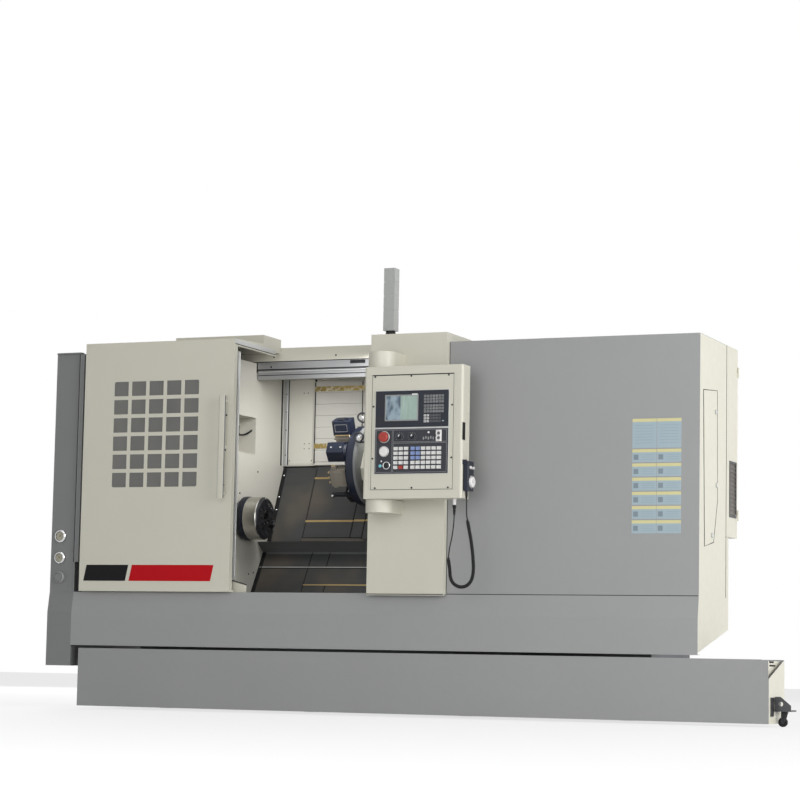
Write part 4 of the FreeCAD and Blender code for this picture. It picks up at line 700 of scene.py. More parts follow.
# the black slanting strip above the guide is painted shadow in the gap under the door's flange
guideShadow = startBox("sill_guide_shadow_strip", (-1.06, -0.5965, 0.7575), (-0.956, -0.5865, 0.7635))
shiftFace(guideShadow, "X", (0, 0, -0.028))
raiseFace(guideShadow, "-Y", 0.0015, 0.0006)
settle(softEdges(guideShadow, 0.0008), "machine", "blackRubber")
buffer = raiseFace(startBox("rail_buffer", (-2.066, -0.6345, 0.6845), (-2.019, -0.61, 0.85)), "-Y", 0.008, -0.003)
settle(softEdges(raiseFace(buffer, "Z", 0.006, 0.002), 0.002), "machine", "blackRubber")

# left column: dials with a pointer and graduations, and a plain cap in the lowest ring
gaugePlan = {"x": -2.165, "dials": ((1.013, 0.0255, 0.6, 0.0262), (0.885, 0.0235, -0.5, 0.0242)),
             "dialFront": -0.6595, "ringFront": -0.6605, "cap": (0.769, 0.024, -0.6645), "ticks": 11, "sweep": 270}


def makeDial(number, z, radius, angle):
    x, front = gaugePlan["x"], gaugePlan["dialFront"]
    face = startRound("gauge_dial_%d" % number, (x, front, z), radius, 0.0024, "-Y", 40)
    settle(softEdges(raiseFace(face, "-Y", radius * 0.14, -0.0006), 0.0004), "machine", "gaugeDial")
    tick = startBox("tick_model", (-0.0005, -0.0004, -0.002), (0.0005, 0.0004, 0.002))
    scaleFace(tick, "Z", (0.6, 1, 1), (0, 0, 0.002))
    marks = []
    for i in range(gaugePlan["ticks"]):
        turn = math.radians(gaugePlan["sweep"] * (i / (gaugePlan["ticks"] - 1) - 0.5))
        away = radius * 0.7
        marks.append(copyTo(tick, (x + math.sin(turn) * away, front - 0.001, z + math.cos(turn) * away),
                            (0, turn, 0)))
    needle = startBox("needle_model", (-0.0011, -0.0005, -radius * 0.22), (0.0011, 0.0005, radius * 0.62))
    scaleFace(needle, "Z", (0.3, 1, 1), (0, 0, 0))
    marks.append(copyTo(needle, (x, front - 0.002, z), (0, angle, 0)))
    hub = startRound("hub_model", (x, front - 0.002, z), radius * 0.12, 0.0022, "-Y", 16)
    marks.append(raiseFace(hub, "-Y", radius * 0.03, 0.0004))
    bpy.data.objects.remove(tick)
    bpy.data.objects.remove(needle)
    settle(joinAll("gauge_marks_%d" % number, marks), "machine", "blackOxide")


for number, (z, radius, angle, ring) in enumerate(gaugePlan["dials"]):
    makeDial(number + 1, z, radius, angle)
shadows = [startRing("ring", (gaugePlan["x"], gaugePlan["ringFront"], z), ring, 0.0012)
           for z, radius, angle, ring in gaugePlan["dials"]]
settle(joinAll("gauge_shadow_rings", shadows), "machine", "blackOxide")
z, radius, front = gaugePlan["cap"]
cap = raiseFace(startRound("gauge_cap", (gaugePlan["x"], front, z), radius, 0.002, "-Y", 40), "-Y", 0.003, 0.0004)
settle(softEdges(cap, 0.0005), "machine", "shadedGreyPaint")
settle(startRing("gauge_cap_ring", (gaugePlan["x"], front, z), radius + 0.0012, 0.0022), "machine", "blackOxide")

# column: the joint line beside the door, a roof sheet and a hatch on the end
layPlates("machine", "blackRubber",
          ("column_joint_strip", (-2.0722, -0.656, 0.86), (-2.069, -0.63, 2.1), "-Y", 0.0003, 0.0002, 0.0002),
          ("end_hatch_gasket", (-2.2352, 0.014, 0.494), (-2.2335, 0.626, 1.026), "-X", 0.003, 0.0001, 0.0001))
layPlates("machine", "shadedGreyPaint",
          ("column_edge_profile", (-2.069, -0.654, 0.86), (-2.04, -0.601, 2.1), "-Y", 0.004, -0.001, 0.0012),
          ("column_roof", (-2.233, -0.652, 2.106), (-2.0705, -0.061, 2.111), "Z", 0.012, 0.001, 0.001),
          ("end_hatch", (-2.2357, 0.02, 0.5), (-2.2335, 0.62, 1.02), "-X", 0.012, 0.0003, 0.0003))
scatter("end_hatch_screws", "fineScrew", [(-2.2339, y, z) for y in (0.04, 0.32, 0.6) for z in (0.52, 1.00)],
        "machine", "blackOxide", "-X")
settle(startRing("bar_hole_bush", (-2.233, -0.21, 1.14), 0.06, 0.0022, "X"), "machine", "blackRubber")

# beam and rails: black strips in the gaps between the rail's profiles, painted shade made as rubber seals, the slot
# at its right end, screws
railPlan = {"front": -0.06, "left": -1.176, "right": -0.16, "rib": (2.0345, 2.04),
            "gaps": ((2.0955, 2.1), (2.048, 2.0535), (2.0135, 2.018)), "slot": (-0.567, -0.4675, 2.073, 2.0935),
            "screws": [(-1.071, 2.126), (-0.66, 2.126), (-1.089, 2.066)]}
left, right = railPlan["left"], railPlan["right"]
# the black strips in the rail's gaps are painted shade
joinPlates("rail_gap_shade_strips", "machine", "blackRubber",
           [((left, -0.0616, low), (right, -0.059, high), "-Y", 0.0008, -0.0004, 0.0004)
            for low, high in railPlan["gaps"]])
low, high = railPlan["rib"]
layPlates("machine", "aluminiumTrim",
          ("rail_rib", (left, -0.064, low), (right, -0.0595, high), "-Y", 0.001, 0.0004, 0.0006))
x0, x1, z0, z1 = railPlan["slot"]
layPlates("machine", "blackOxide", ("rail_slot", (x0, -0.0612, z0), (x1, -0.059, z1), "-Y", 0.0015, -0.0009, 0.0004))
scatter("beam_screws", "screw", [(x, railPlan["front"], z) for x, z in railPlan["screws"]], "machine", "blackOxide",
        "-Y")

# left inner wall: screws, the dark seam at the rear corner, the valve and nozzle in their pocket
wallPlan = {"face": -1.185, "screws": [(-0.014, 1.435), (-0.25, 1.289), (-0.106, 0.814), (-0.042, 0.825)],
            "pipes": ((0.0075, [(-1.3, -0.24, 1.65), (-1.262, -0.24, 1.65), (-1.25, -0.225, 1.65),
                                (-1.25, -0.185, 1.65)]),
                      (0.006, [(-1.25, -0.165, 1.65), (-1.25, -0.115, 1.65), (-1.245, -0.088, 1.655),
                                (-1.225, -0.078, 1.664), (-1.2, -0.08, 1.682)]),
                      (0.006, [(-1.25, -0.175, 1.64), (-1.25, -0.175, 1.6), (-1.27, -0.175, 1.585),
                                (-1.302, -0.175, 1.585)]))}
scatter("inner_wall_screws", "screw", [(wallPlan["face"], y, z) for y, z in wallPlan["screws"]], "machine",
        "blackOxide", "X")
layPlates("machine", "blackRubber",
          ("inner_corner_seam", (-1.186, 0.296, 1.5), (-1.1825, 0.312, 2.034), "X", 0.003, 0.0008, 0.0005))
layPlates("machine", "blackOxide",
          ("nozzle_manifold", (-1.302, -0.2, 1.61), (-1.268, -0.15, 1.69), "X", 0.006, 0.008, 0.002))
valve = raiseFace(startRound("valve_body", (-1.255, -0.175, 1.65), 0.011, 0.03, "X", 20), "X", 0.003, 0.006)
lever = startBox("valve_lever", (-1.242, -0.181, 1.64), (-1.237, -0.169, 1.705))
scaleFace(lever, "Z", (1, 0.6, 1), (-1.24, -0.175, 1.705))
settle(softEdges(joinAll("nozzle_valve", [valve, lever]), 0.001), "machine", "blackOxide")
settle(joinAll("nozzle_pipes", [bentPipe("pipe", points, radius) for radius, points in wallPlan["pipes"]]), "machine",
       "blackOxide", smooth=60)
settle(softEdges(openFrame("pocket_lip", (-1.1864, -0.301, 1.533), (-1.1835, -0.053, 1.761), 0, 0.0035), 0.0006),
       "machine", "liningPaint")

# rear wall of the work area: corner profile, upright panel, their screws and seams
rearPlan = {"profileScrews": (1.946, 1.834, 1.721, 1.566),
            "panelScrews": [(-1.049, 1.949), (-1.022, 1.949), (-1.041, 1.634), (-1.008, 1.636), (-1.041, 1.604),
                            (-1.008, 1.604), (-1.14, 1.53), (-0.99, 1.53)]}
layPlates("machine", "aluminiumTrim",
          ("corner_profile", (-1.184, 0.3345, 1.502), (-1.157, 0.3405, 2.033), "-Y", 0.004, 0.0016, 0.0008))
layPlates("machine", "liningPaint",
          ("rear_wall_panel", (-1.15, 0.335, 1.505), (-0.976, 0.3405, 2.033), "-Y", 0.006, 0.0012, 0.0012))
scatter("rear_wall_screws", "fineScrew", [(-1.167, 0.333, z) for z in rearPlan["profileScrews"]]
        + [(x, 0.334, z) for x, z in rearPlan["panelScrews"]], "machine", "blackOxide", "-Y")
layPlates("machine", "blackRubber",
          ("rear_panel_seam", (-1.1555, 0.333, 1.505), (-1.1515, 0.3405, 2.033), "-Y", 0.0008, -0.0004, 0.0004),
          ("rear_shield_seam", (-0.9758, 0.332, 1.505), (-0.9665, 0.3405, 2.033), "-Y", 0.0012, -0.0006, 0.0004))

# back shield: crumpled brass-coloured strips and the dark edges that ride with the carriage
shieldPlan = {"left": -0.966, "right": -0.34, "strips": ((1.955, 1.985), (1.602, 1.632)), "front": 0.3122,
              "cuts": 24, "crumple": 0.0022, "crumpleSize": 0.02}


def makeBrassStrip(number, low, high, plan):
    strip = startBox("shield_brass_%d" % number, (plan["left"], plan["front"], low), (plan["right"], 0.316, high))
    activate(strip)
    bpy.ops.object.mode_set(mode="EDIT")
    bpy.ops.mesh.select_all(action="SELECT")
    bpy.ops.mesh.subdivide(number_cuts=plan["cuts"])
    bpy.ops.object.mode_set(mode="OBJECT")
    crumple = strip.modifiers.new("crumple", "DISPLACE")
    crumple.texture = bpy.data.textures.new("dents_%d" % number, "CLOUDS")
    crumple.texture.noise_scale = plan["crumpleSize"]
    crumple.texture_coords = "LOCAL"
    crumple.direction = "Y"
    crumple.strength = plan["crumple"]
    activate(strip)
    bpy.ops.object.modifier_apply(modifier=crumple.name)
    settle(strip, "carriage", "goldStrip")


for i, (low, high) in enumerate(shieldPlan["strips"]):
    makeBrassStrip(i + 1, low, high, shieldPlan)
layPlates("carriage", "blackRubber",
          ("shield_edge", (-0.966, 0.3125, 1.51), (-0.96, 0.316, 2.012), "-Y", 0.0012, -0.0005, 0.0004),
          ("shield_joint", (-0.648, 0.3125, 1.51), (-0.643, 0.316, 2.012), "-Y", 0.0012, -0.0005, 0.0004))

# slope: gasket with rivets along the wall, wiper strips on the moving cover, ledge strip
slopePlan = {"fixed": 0.368, "gasket": (-1.1845, -1.159), "rivets": (0.49, 0.341, 0.252, 0.181, 0.109),
             "levels": ((-0.949, -0.626, 0.354), (-0.624, -0.546, 0.349), (-0.544, -0.487, 0.344)),
             "wipers": ((0.455, 0.467), (0.158, 0.171)), "ledge": (-0.948, -0.487), "ledgeLean": 87.8,
             "ledgePlace": (0, 0.252, -0.0235)}
x0, x1 = slopePlan["gasket"]
fixed = slopePlan["fixed"]
layPlates("machine", "blackRubber",
          ("slope_gasket", (x0, fixed - 0.0022, 0.036), (x1, fixed + 0.0005, 0.54), "-Y", 0.003, 0.0008, 0.0006),
          plane=slope)
rivet = startRound("rivet_model", (0, 0, 0.0012), 0.0055, 0.0024, "Z", 12)
models["rivet"] = softEdges(scaleFace(rivet, "Z", (0.5, 0.5, 1), (0, 0, 0.0024)), 0.0005, 1)
scatter("slope_rivets", "rivet", [onPlane(slope, -1.171, fixed - 0.0028, up) for up in slopePlan["rivets"]],
        "machine", "chrome", (math.pi / 2 - slope["lean"], 0, 0))
joinPlates("shield_wipers", "carriage", "brassStrip",
           [((x0, back - 0.0016, low), (x1, back + 0.0003, high), "-Y", 0.002, 0.0006, 0.0005)
            for low, high in slopePlan["wipers"] for x0, x1, back in slopePlan["levels"]], slope)
joinPlates("shield_seams", "carriage", "blackRubber",
           [((x0, y0, z0), (x1, y1, z1), "-Y", border, rise, 0.0003)
            for x0, x1, y0, y1, z0, z1, border, rise in (
                (-0.6355, -0.6267, 0.3517, 0.3545, 0.04, 0.53, 0.0016, -0.0004),
                (-0.5555, -0.5467, 0.3467, 0.3545, 0.04, 0.53, 0.0016, -0.0004),
                (-0.9575, -0.9492, 0.365, 0.3676, 0.034, 0.536, 0.0016, -0.0006),
                (-0.9486, -0.9428, 0.353, 0.3545, 0.036, 0.534, 0.0016, -0.0004),
                (-0.948, -0.487, 0.348, 0.354, 0.0465, 0.052, 0.0012, -0.0004),
                (-0.948, -0.487, 0.348, 0.354, 0.012, 0.017, 0.0012, -0.0004))], slope)
x0, x1 = slopePlan["ledge"]
ledge = raiseFace(startBox("ledge_wiper", (x0, -0.0035, 0.006), (x1, 0, 0.1)), "-Y", 0.01, -0.0012)
ledge.rotation_euler = (-math.radians(slopePlan["ledgeLean"]), 0, 0)
ledge.location = onPlane(slope, *slopePlan["ledgePlace"])
applyPlace(ledge)
upstand = leanOn(plate("upstand", (x0, 0.349, 0.018), (x1, 0.3532, 0.046), "-Y"), slope)
settle(softEdges(joinAll("ledge_wiper", [ledge, upstand]), 0.0006), "carriage", "warmSteel")

# slant below the ledge: the long silver seam, the brass strip and the sheet joints
lowerPlan = {"left": -1.18, "right": 0.3, "seam": (0.178, 0.184), "brass": (0.05, 0.058), "brassLeft": -0.853,
             "joints": ((-0.852, 0.186, 0.286), (-0.853, 0.004, 0.177), (-0.708, 0.004, 0.0495),
                        (-0.735, 0.186, 0.286))}
left, right = lowerPlan["left"], lowerPlan["right"]
low, high = lowerPlan["seam"]
layPlates("machine", "aluminiumTrim",
          ("slant_seam", (left, -0.0018, low), (right, 0.0003, high), "-Y", 0.0012, 0.0006, 0.0006), plane=lowerSlant)
layPlates("machine", "blackRubber",
          ("slant_groove", (left, -0.001, 0.1715), (right, 0.0003, 0.1778), "-Y", 0.001, -0.0004, 0.0004),
          ("slant_edge_seal", (-1.1845, -0.003, 0.002), (-1.16, 0.0004, 0.288), "-Y", 0.004, -0.001, 0.0008),
          plane=lowerSlant)
low, high = lowerPlan["brass"]
layPlates("machine", "brassStrip",
          ("slant_brass", (lowerPlan["brassLeft"], -0.0018, low), (right, 0.0003, high), "-Y", 0.0012, 0.0006,
           0.0005), plane=lowerSlant)
joinPlates("slant_joints", "machine", "blackRubber",
           [((x - 0.003, -0.0012, low), (x + 0.003, 0.0003, high), "-Y", 0.0005, -0.0003, 0.0003)
            for x, low, high in lowerPlan["joints"]], lowerSlant)

# chuck: face bolts and grease nipples, and two screws in each hard jaw
chuckPlan = {"y": -0.21, "z": 1.14, "face": -1.0222, "bolts": (0.092, (60, 180, 300)),
             "nipples": (0.0705, (35, 85, 155, 205, 275, 325)), "jaws": ("jaw_one", "jaw_two", "jaw_three"),
             "jawScrews": ((-0.9922, 0.058), (-1.0042, 0.0725))}


def roundChuck(x, radius, degrees):
    angle = math.radians(degrees)
    return (x, chuckPlan["y"] - radius * math.sin(angle), chuckPlan["z"] + radius * math.cos(angle))


scatter("chuck_bolts", "bolt", [roundChuck(chuckPlan["face"], radius, degrees) for radius, angles in
                                (chuckPlan["bolts"], chuckPlan["nipples"]) for degrees in angles],
        "spindle_unit", "blackOxide", "X")
for i, body in enumerate(chuckPlan["jaws"]):
    scatter("jaw_screws_%d" % (i + 1), "fineScrew",
            [roundChuck(x, radius, 120 * i) for x, radius in chuckPlan["jawScrews"]], body, "groundSteel", "X")
collar = startRound("backplate_band", (-1.144, chuckPlan["y"], chuckPlan["z"]), 0.131, 0.01, "X", 64)
raiseFace(collar, lambda centre, normal: abs(normal.x) > 0.9, 0.006, -0.0006)
settle(softEdges(collar, 0.001), "spindle_unit", "blackOxide")

# turret: ring of bolts, clamps, centre cap, index marks, and the trim on its holders
turretPlan = {"y": -0.0693, "z": 1.4561, "face": -0.4832, "bolts": 0.088, "cap": 0.046, "clamps": 0.128,
              "marks": 0.222, "stations": 8, "first": 22.5, "step": 45, "trimLift": 0.0002}
discFace = turretPlan["face"]
stationAngles = [turretPlan["step"] * i for i in range(turretPlan["stations"])]


def roundTurret(x, radius, degrees, side=0.0):
    angle = math.radians(degrees)
    return (x, turretPlan["y"] + radius * math.cos(angle) - side * math.sin(angle),
            turretPlan["z"] + radius * math.sin(angle) + side * math.cos(angle))


scatter("turret_bolts", "bolt", [roundTurret(discFace, turretPlan["bolts"], angle) for angle in stationAngles],
        "turret", "groundSteel", "-X")
scatter("station_clamps", "fineScrew", [roundTurret(discFace, turretPlan["clamps"], turretPlan["first"] + angle, side)
                                        for angle in stationAngles for side in (-0.016, 0.016)],
        "turret", "groundSteel", "-X")
cap = startRound("turret_cap", roundTurret(discFace - 0.004, 0, 0), turretPlan["cap"], 0.009, "X", 48)
settle(softEdges(raiseFace(cap, "-X", 0.01, -0.003), 0.0015), "turret", "groundSteel")
rim = plate("mark", (-0.4845, -0.004, -0.01), (-0.4825, 0.004, 0.01), "-X", 0.001, 0.0004, 0.0003)
marks = [copyTo(rim, roundTurret(0, turretPlan["marks"], angle), (math.radians(angle - 90), 0, 0))
         for angle in stationAngles]
bpy.data.objects.remove(rim)
settle(joinAll("station_marks", marks), "turret", "buttonWhite")

# holder trim, in its holder's own frame: x, outwards from the axis, along the rim; a band is an open frame
holderTrim = (("top_holder_window", (-0.1298, 0.214, -0.03), (-0.127, 0.276, 0.03), "-X", 2, "groundSteel", 0.003,
               -0.001),
              ("top_holder_band", (-0.108, 0.226, 0.0445), (-0.028, 0.272, 0.046), None, 2, "groundSteel", 0.003,
               0),
              ("top_holder_insert", (-0.096, 0.2865, -0.018), (-0.056, 0.2935, 0.018), "Y", 2, "blackOxide", 0.005,
               0.002),
              ("top_holder_shim", (-0.112, 0.202, 0.044), (-0.016, 0.208, 0.0475), "Z", 2, "brassStrip", 0.001,
               0.0005),
              ("face_holder_insert", (-0.086, 0.2075, -0.0745), (-0.062, 0.215, -0.06), "-Z", 4, "brassStrip",
               0.003, 0.001),
              ("face_holder_clamp", (-0.092, 0.229, -0.044), (-0.014, 0.2335, 0.044), "Y", 4, "holderSteel", 0.008,
               0.0015),
              ("bar_holder_insert", (-0.145, 0.1935, -0.0085), (-0.133, 0.2045, 0.0085), "-X", 5, "chrome", 0.002,
               0.001))
for name, low, high, front, station, paint, border, rise in holderTrim:
    if front:
        piece = raiseFace(startBox(name, low, high), front, border, rise)
    else:
        piece = openFrame(name, low, high, 2, border)
    softEdges(piece, 0.0008)
    piece.rotation_euler = (math.radians(turretPlan["first"] + stationAngles[station]), 0, 0)
    piece.location = (discFace + turretPlan["trimLift"], turretPlan["y"], turretPlan["z"])
    settle(piece, "turret", paint)
scatter("face_holder_screws", "bolt", [roundTurret(discFace - 0.1035, 0.217, 202.5, side)
                                       for side in (-0.03, 0, 0.03)], "turret", "brassStrip", "-X")
scatter("side_holder_screws", "screw", [roundTurret(discFace - x, 0.242, 157.5) for x in (0.03, 0.09)], "turret",
        "groundSteel", (math.radians(157.5) - math.pi / 2, 0, 0))

# turret housing: two bent coolant pipes with bright fittings; the route is measured from each pipe's middle
pipePlan = {"radius": 0.0055, "pipes": ((0, -0.29, 1.602), (0.022, -0.29, 1.718)),
            "route": ((-0.335, 0.12, -0.004), (-0.348, 0.03, -0.014), (-0.392, 0, -0.03), (-0.425, -0.003, -0.01),
                      (-0.428, -0.003, 0.018), (-0.402, -0.002, 0.032), (-0.374, 0, 0.022), (-0.368, 0.002, -0.004),
                      (-0.388, 0.002, -0.022)),
            "fittings": [(-0.398, -0.288, 1.602), (-0.376, -0.288, 1.718)]}
loops = [bentPipe("loop", [(x + shift, y + dy, z + dz) for x, dy, dz in pipePlan["route"]], pipePlan["radius"])
         for shift, y, z in pipePlan["pipes"]]
settle(joinAll("coolant_loops", loops), "cross_unit", "blackOxide", smooth=60)
fitting = raiseFace(startRound("fitting_model", (0, 0, 0), 0.013, 0.02, "Z", 6), "Z", 0.003, 0.006)
models["fitting"] = softEdges(fitting, 0.0008)
scatter("coolant_fittings", "fitting", pipePlan["fittings"], "cross_unit", "chrome", "-Y")

# operator panel: the gap round its face, screws, and the trim round the two units
panelPlan = {"left": -0.0475, "right": 0.4415, "low": 1.2475, "high": 1.8885, "unit": (-0.022, 0.412),
             "screws": [(-0.03, 1.878), (0.187, 1.878), (0.41, 1.878), (-0.038, 1.712), (0.432, 1.712),
                        (-0.038, 1.422), (0.432, 1.422), (-0.02, 1.258), (0.2, 1.258), (0.415, 1.258)],
             "screwFront": -0.9095, "unitEdges": ((1.337, 1.584), (1.594, 1.796)), "edging": 0.0035}
p = panelPlan
settle(openFrame("panel_gap", (p["left"], -0.9104, p["low"]), (p["right"], -0.908, p["high"]), 1, 0.0022),
       "panel_unit", "blackRubber")
layPlates("panel_unit", "blackRubber",
          ("panel_top_gap", (p["left"] + 0.003, -0.9106, p["high"] - 0.006),
           (p["right"] - 0.003, -0.908, p["high"] - 0.0022), "-Y", 0.0008, -0.0004, 0.0003),
          ("panel_side_slot", (0.4935, -0.906, 1.519), (0.4962, -0.87, 1.616), "X", 0.0025, -0.001, 0.0006))
scatter("panel_screws", "screw", [(x, p["screwFront"], z) for x, z in p["screws"]], "panel_unit", "blackOxide", "-Y")
x0, x1 = p["unit"]
edging = [openFrame("edging", (x0 - p["edging"], -0.9125, low - p["edging"]),
                    (x1 + p["edging"], -0.9085, high + p["edging"]), 1, 0.0032) for low, high in p["unitEdges"]]
settle(softEdges(joinAll("unit_edging", edging), 0.0006), "panel_unit", "aluminiumTrim")
layPlates("panel_unit", "aluminiumTrim",
          ("unit_divider", (x0, -0.914, 1.585), (x1, -0.909, 1.593), "-Y", 0.002, 0.0008, 0.0008))

# display: bezel, pane with a dim picture, and a pale tag at its corner
screenPlan = {"left": 0.038, "right": 0.23, "low": 1.632, "high": 1.77, "split": 0.128, "bezel": 0.0075,
              "overlap": 0.004, "inset": 0.002, "rows": 3600.0, "coat": 0.6}


def makeScreenPaint(plan):
    # two fields of a dim picture with fine dark rows
    material, tree, surface = newMaterial("displayPane", {"Coat Weight": plan["coat"]})
    parts = placeParts(tree)
    cloud = noiseAt(tree, 16, (1.6, 1, 0.8), detail=2)
    streak = noiseAt(tree, 60, (1, 1, 0.12), detail=2)
    left = blendColours(tree, spread(tree, cloud, 0, 1, 0.4, 0.6), (0.045, 0.082, 0.13), (0.28, 0.37, 0.43))
    right = blendColours(tree, spread(tree, streak, 0, 1), (0.28, 0.39, 0.335), (0.37, 0.48, 0.43))
    side = spread(tree, parts[0], 0, 1, plan["split"] - 0.004, plan["split"] + 0.004)
    tone = blendColours(tree, side, left, right)
    rows = sumOf(tree, "SINE", sumOf(tree, "MULTIPLY", parts[2], plan["rows"]))
    tone = blendColours(tree, spread(tree, rows, 0, 0.12, -1, 1), tone, (0.02, 0.03, 0.03))
    connect(tree, tone, surface.inputs["Base Color"])
    connect(tree, spread(tree, streak, 0.12, 0.2), surface.inputs["Roughness"])
    return material


def screenCorners(front, back, grow):
    s = screenPlan
    return (s["left"] - grow, front, s["low"] - grow), (s["right"] + grow, back, s["high"] + grow)


bezel = openFrame("display_bezel", *screenCorners(-0.9185, -0.9145, screenPlan["overlap"]), 1, screenPlan["bezel"])
settle(softEdges(bezel, 0.0012), "panel_unit", "keyGrey")
pane = plate("display_pane", *screenCorners(-0.9172, -0.9148, -screenPlan["inset"]), "-Y", 0.004, 0.0004, 0.0004,
             0.002)
settle(pane, "panel_unit", makeScreenPaint(screenPlan))
layPlates("panel_unit", "keyWhite",
          ("display_tag", (0.196, -0.9195, 1.77), (0.229, -0.918, 1.779), "-Y", 0.001, 0.0003, 0.0003))

# membrane keypad beside the display: grey keys, four pale ones, a darker block
keypadPlan = {"left": 0.2735, "top": 1.764, "pitch": (0.0172, 0.016), "key": (0.0145, 0.0016, 0.0125),
              "front": -0.9135, "blockGap": 0.006,
              "blocks": (("keypad_keys", 0, 7, 0, 6, "keyGrey"), ("keypad_pale_keys", 0, 2, 6, 9, "keyWhite"),
                         ("keypad_dark_keys", 2, 6, 6, 9, "keyDark"))}


def makeKey(name, size, dish=0.0003):
    half = [v / 2 for v in size]
    small = min(size[0], size[2])
    return plate(name, [-v for v in half], half, "-Y", small * 0.16, -dish, small * 0.08, 0.0005, 1)


def padPlaces(columns, rows):
    # every third row is followed by a wider gap
    k = keypadPlan
    return [(k["left"] + k["pitch"][0] * c, k["front"], k["top"] - k["pitch"][1] * r
             - k["blockGap"] * ((r > 2) + (r > 5))) for c in columns for r in rows]


models["pad"] = makeKey("pad_model", keypadPlan["key"])
for name, c0, c1, r0, r1, paint in keypadPlan["blocks"]:
    scatter(name, "pad", padPlaces(range(c0, c1), range(r0, r1)), "panel_unit", paint)
layPlates("panel_unit", "cardBlue",
          ("keypad_tag", (0.3755, -0.9165, 1.6215), (0.3865, -0.915, 1.6275), "-Y", 0.001, 0.0003, 0.0003))

# control board: raised outlines, key caps, rings round the controls, lamps and dial marks
boardPlan = {"front": -0.916, "outlines": ((0.0865, 0.406, 1.343, 1.506), (0.0865, 0.406, 1.511, 1.579),
                                            (-0.016, 0.0815, 1.343, 1.579)),
             "cap": (0.024, 0.008, 0.0185), "firstKey": 0.105, "secondKey": 0.207, "pitch": (0.031, 0.026),
             "low": 1.3705, "knobs": ((0.124, 1.541), (0.2, 1.541)),
             "marks": (11, -135, 27), "marksAway": (0.0255, 0.0225),
             "pair": (0.3585, (1.556, 1.53)),
             "rings": (("estop_ring", 0.034, 1.54, 0.03, 0.003, "aluminiumTrim"),
                       ("start_ring", 0.034, 1.46, 0.0275, 0.0025, "aluminiumTrim"),
                       ("key_ring", 0.05, 1.382, 0.019, 0.003, "chrome"),
                       ("knob_ring_1", 0.124, 1.541, 0.016, 0.0015, "keyDark"),
                       ("knob_ring_2", 0.2, 1.541, 0.016, 0.0015, "keyDark")),
             "lamps": (("lamp_cyan", 0.012, 1.38, 0.0085, "lampCyan"),
                       ("lamp_white", 0.019, 1.406, 0.004, "buttonWhite"),
                       ("board_led", 0.298, 1.562, 0.0055, "buttonWhite")),
             "toggles": [(0.268, 1.53), (0.2825, 1.534), (0.297, 1.53), (0.3115, 1.534), (0.326, 1.53)]}
b = boardPlan
front = b["front"]
outlines = [openFrame("outline", (x0, front - 0.0008, z0), (x1, front + 0.0005, z1), 1, 0.0018)
            for x0, x1, z0, z1 in b["outlines"]]
settle(joinAll("board_outlines", outlines), "panel_unit", "keyGrey")
models["cap"] = makeKey("cap_model", b["cap"], 0.0006)


def capPlaces(start, columns, rows):
    return [(b[start] + b["pitch"][0] * c, front - 0.0035, b["low"] + b["pitch"][1] * r) for c in columns
            for r in rows]


whiteKeys = capPlaces("firstKey", (0, 1, 2), (1, 2, 3, 4)) + capPlaces("firstKey", (0, 2), (0,))
whiteKeys += capPlaces("secondKey", (0, 1), (0, 1)) + capPlaces("secondKey", (2, 3, 4, 5), range(5))
for name, places, paint in (("board_keys_white", whiteKeys, "keyWhite"),
                            ("board_keys_blue", capPlaces("secondKey", (0, 1), (2, 3, 4)), "keyBlue"),
                            ("board_key_red", capPlaces("firstKey", (1,), (0,)), "signalRed")):
    scatter(name, "cap", places, "panel_unit", paint)
for name, x, z, radius, thick, paint in b["rings"]:
    ring = startRing(name, (x, front - 0.003, z), radius, thick)
    scaleFace(ring, lambda centre, normal: centre.y > front, (1, 0.3, 1), (x, front, z))
    settle(ring, "panel_unit", paint)


def markRing(name, size, narrow, spots, body, paint):
    # small tapered marks round one or more centres; a spot is a place and a turn
    tick = startBox(name, [-v for v in size], size)
    scaleFace(tick, "Z", narrow, (0, 0, 0))
    marks = [copyTo(tick, place, turn) for place, turn in spots]
    bpy.data.objects.remove(tick)
    settle(joinAll(name, marks), body, paint)


spots = []
count, start, step = b["marks"]
across, along = b["marksAway"]
for x, z in b["knobs"]:
    for turn in (math.radians(start + step * i) for i in range(count)):
        spots.append(((x + math.sin(turn) * across, front - 0.0003, z + math.cos(turn) * along), (0, turn, 0)))
markRing("knob_marks", (0.0008, 0.0006, 0.003), (0.6, 1, 1), spots, "panel_unit", "keyGrey")
for node, body in (("override_knob_1", "knob_one"), ("override_knob_2", "knob_two")):
    low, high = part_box(node)
    pointer = startBox(node + "_pointer", (-0.0026, -0.0016, 0), (0.0026, 0.0008, 0.0125))
    raiseFace(pointer, "-Y", 0.0008, 0.0004, 0.0002)
    pointer.rotation_euler = (0, math.radians(38), 0)
    pointer.location = ((low[0] + high[0]) / 2, low[1], (low[2] + high[2]) / 2)
    settle(softEdges(pointer, 0.0002, 1), body, "buttonWhite")
x, heights = b["pair"]
pair = [plate("pair_base", (x - 0.017, front - 0.0025, heights[1] - 0.019),
              (x + 0.017, front + 0.0005, heights[0] + 0.019), "-Y", 0.003, 0.0008, 0.001)]
pair += [startRing("pair_ring", (x, front - 0.0045, z), 0.0125, 0.0042) for z in heights]
settle(joinAll("switch_pair", pair), "panel_unit", "buttonWhite")
domes = [raiseFace(startRound("dome", (x, front - 0.004, z), 0.0085, 0.006, "-Y", 20), "-Y", 0.002, -0.001)
         for z in heights]
settle(joinAll("switch_pair_cores", domes), "panel_unit", "keyDark")
for name, x, z, radius, paint in b["lamps"]:
    lamp = startRound(name, (x, front - 0.0015, z), radius, 0.005, "-Y", 20)
    raiseFace(lamp, "-Y", radius * 0.35, 0.001, radius * 0.2)
    settle(softEdges(lamp, radius * 0.12), "panel_unit", paint)
models["toggle"] = makeKey("toggle_model", (0.0075, 0.003, 0.015))
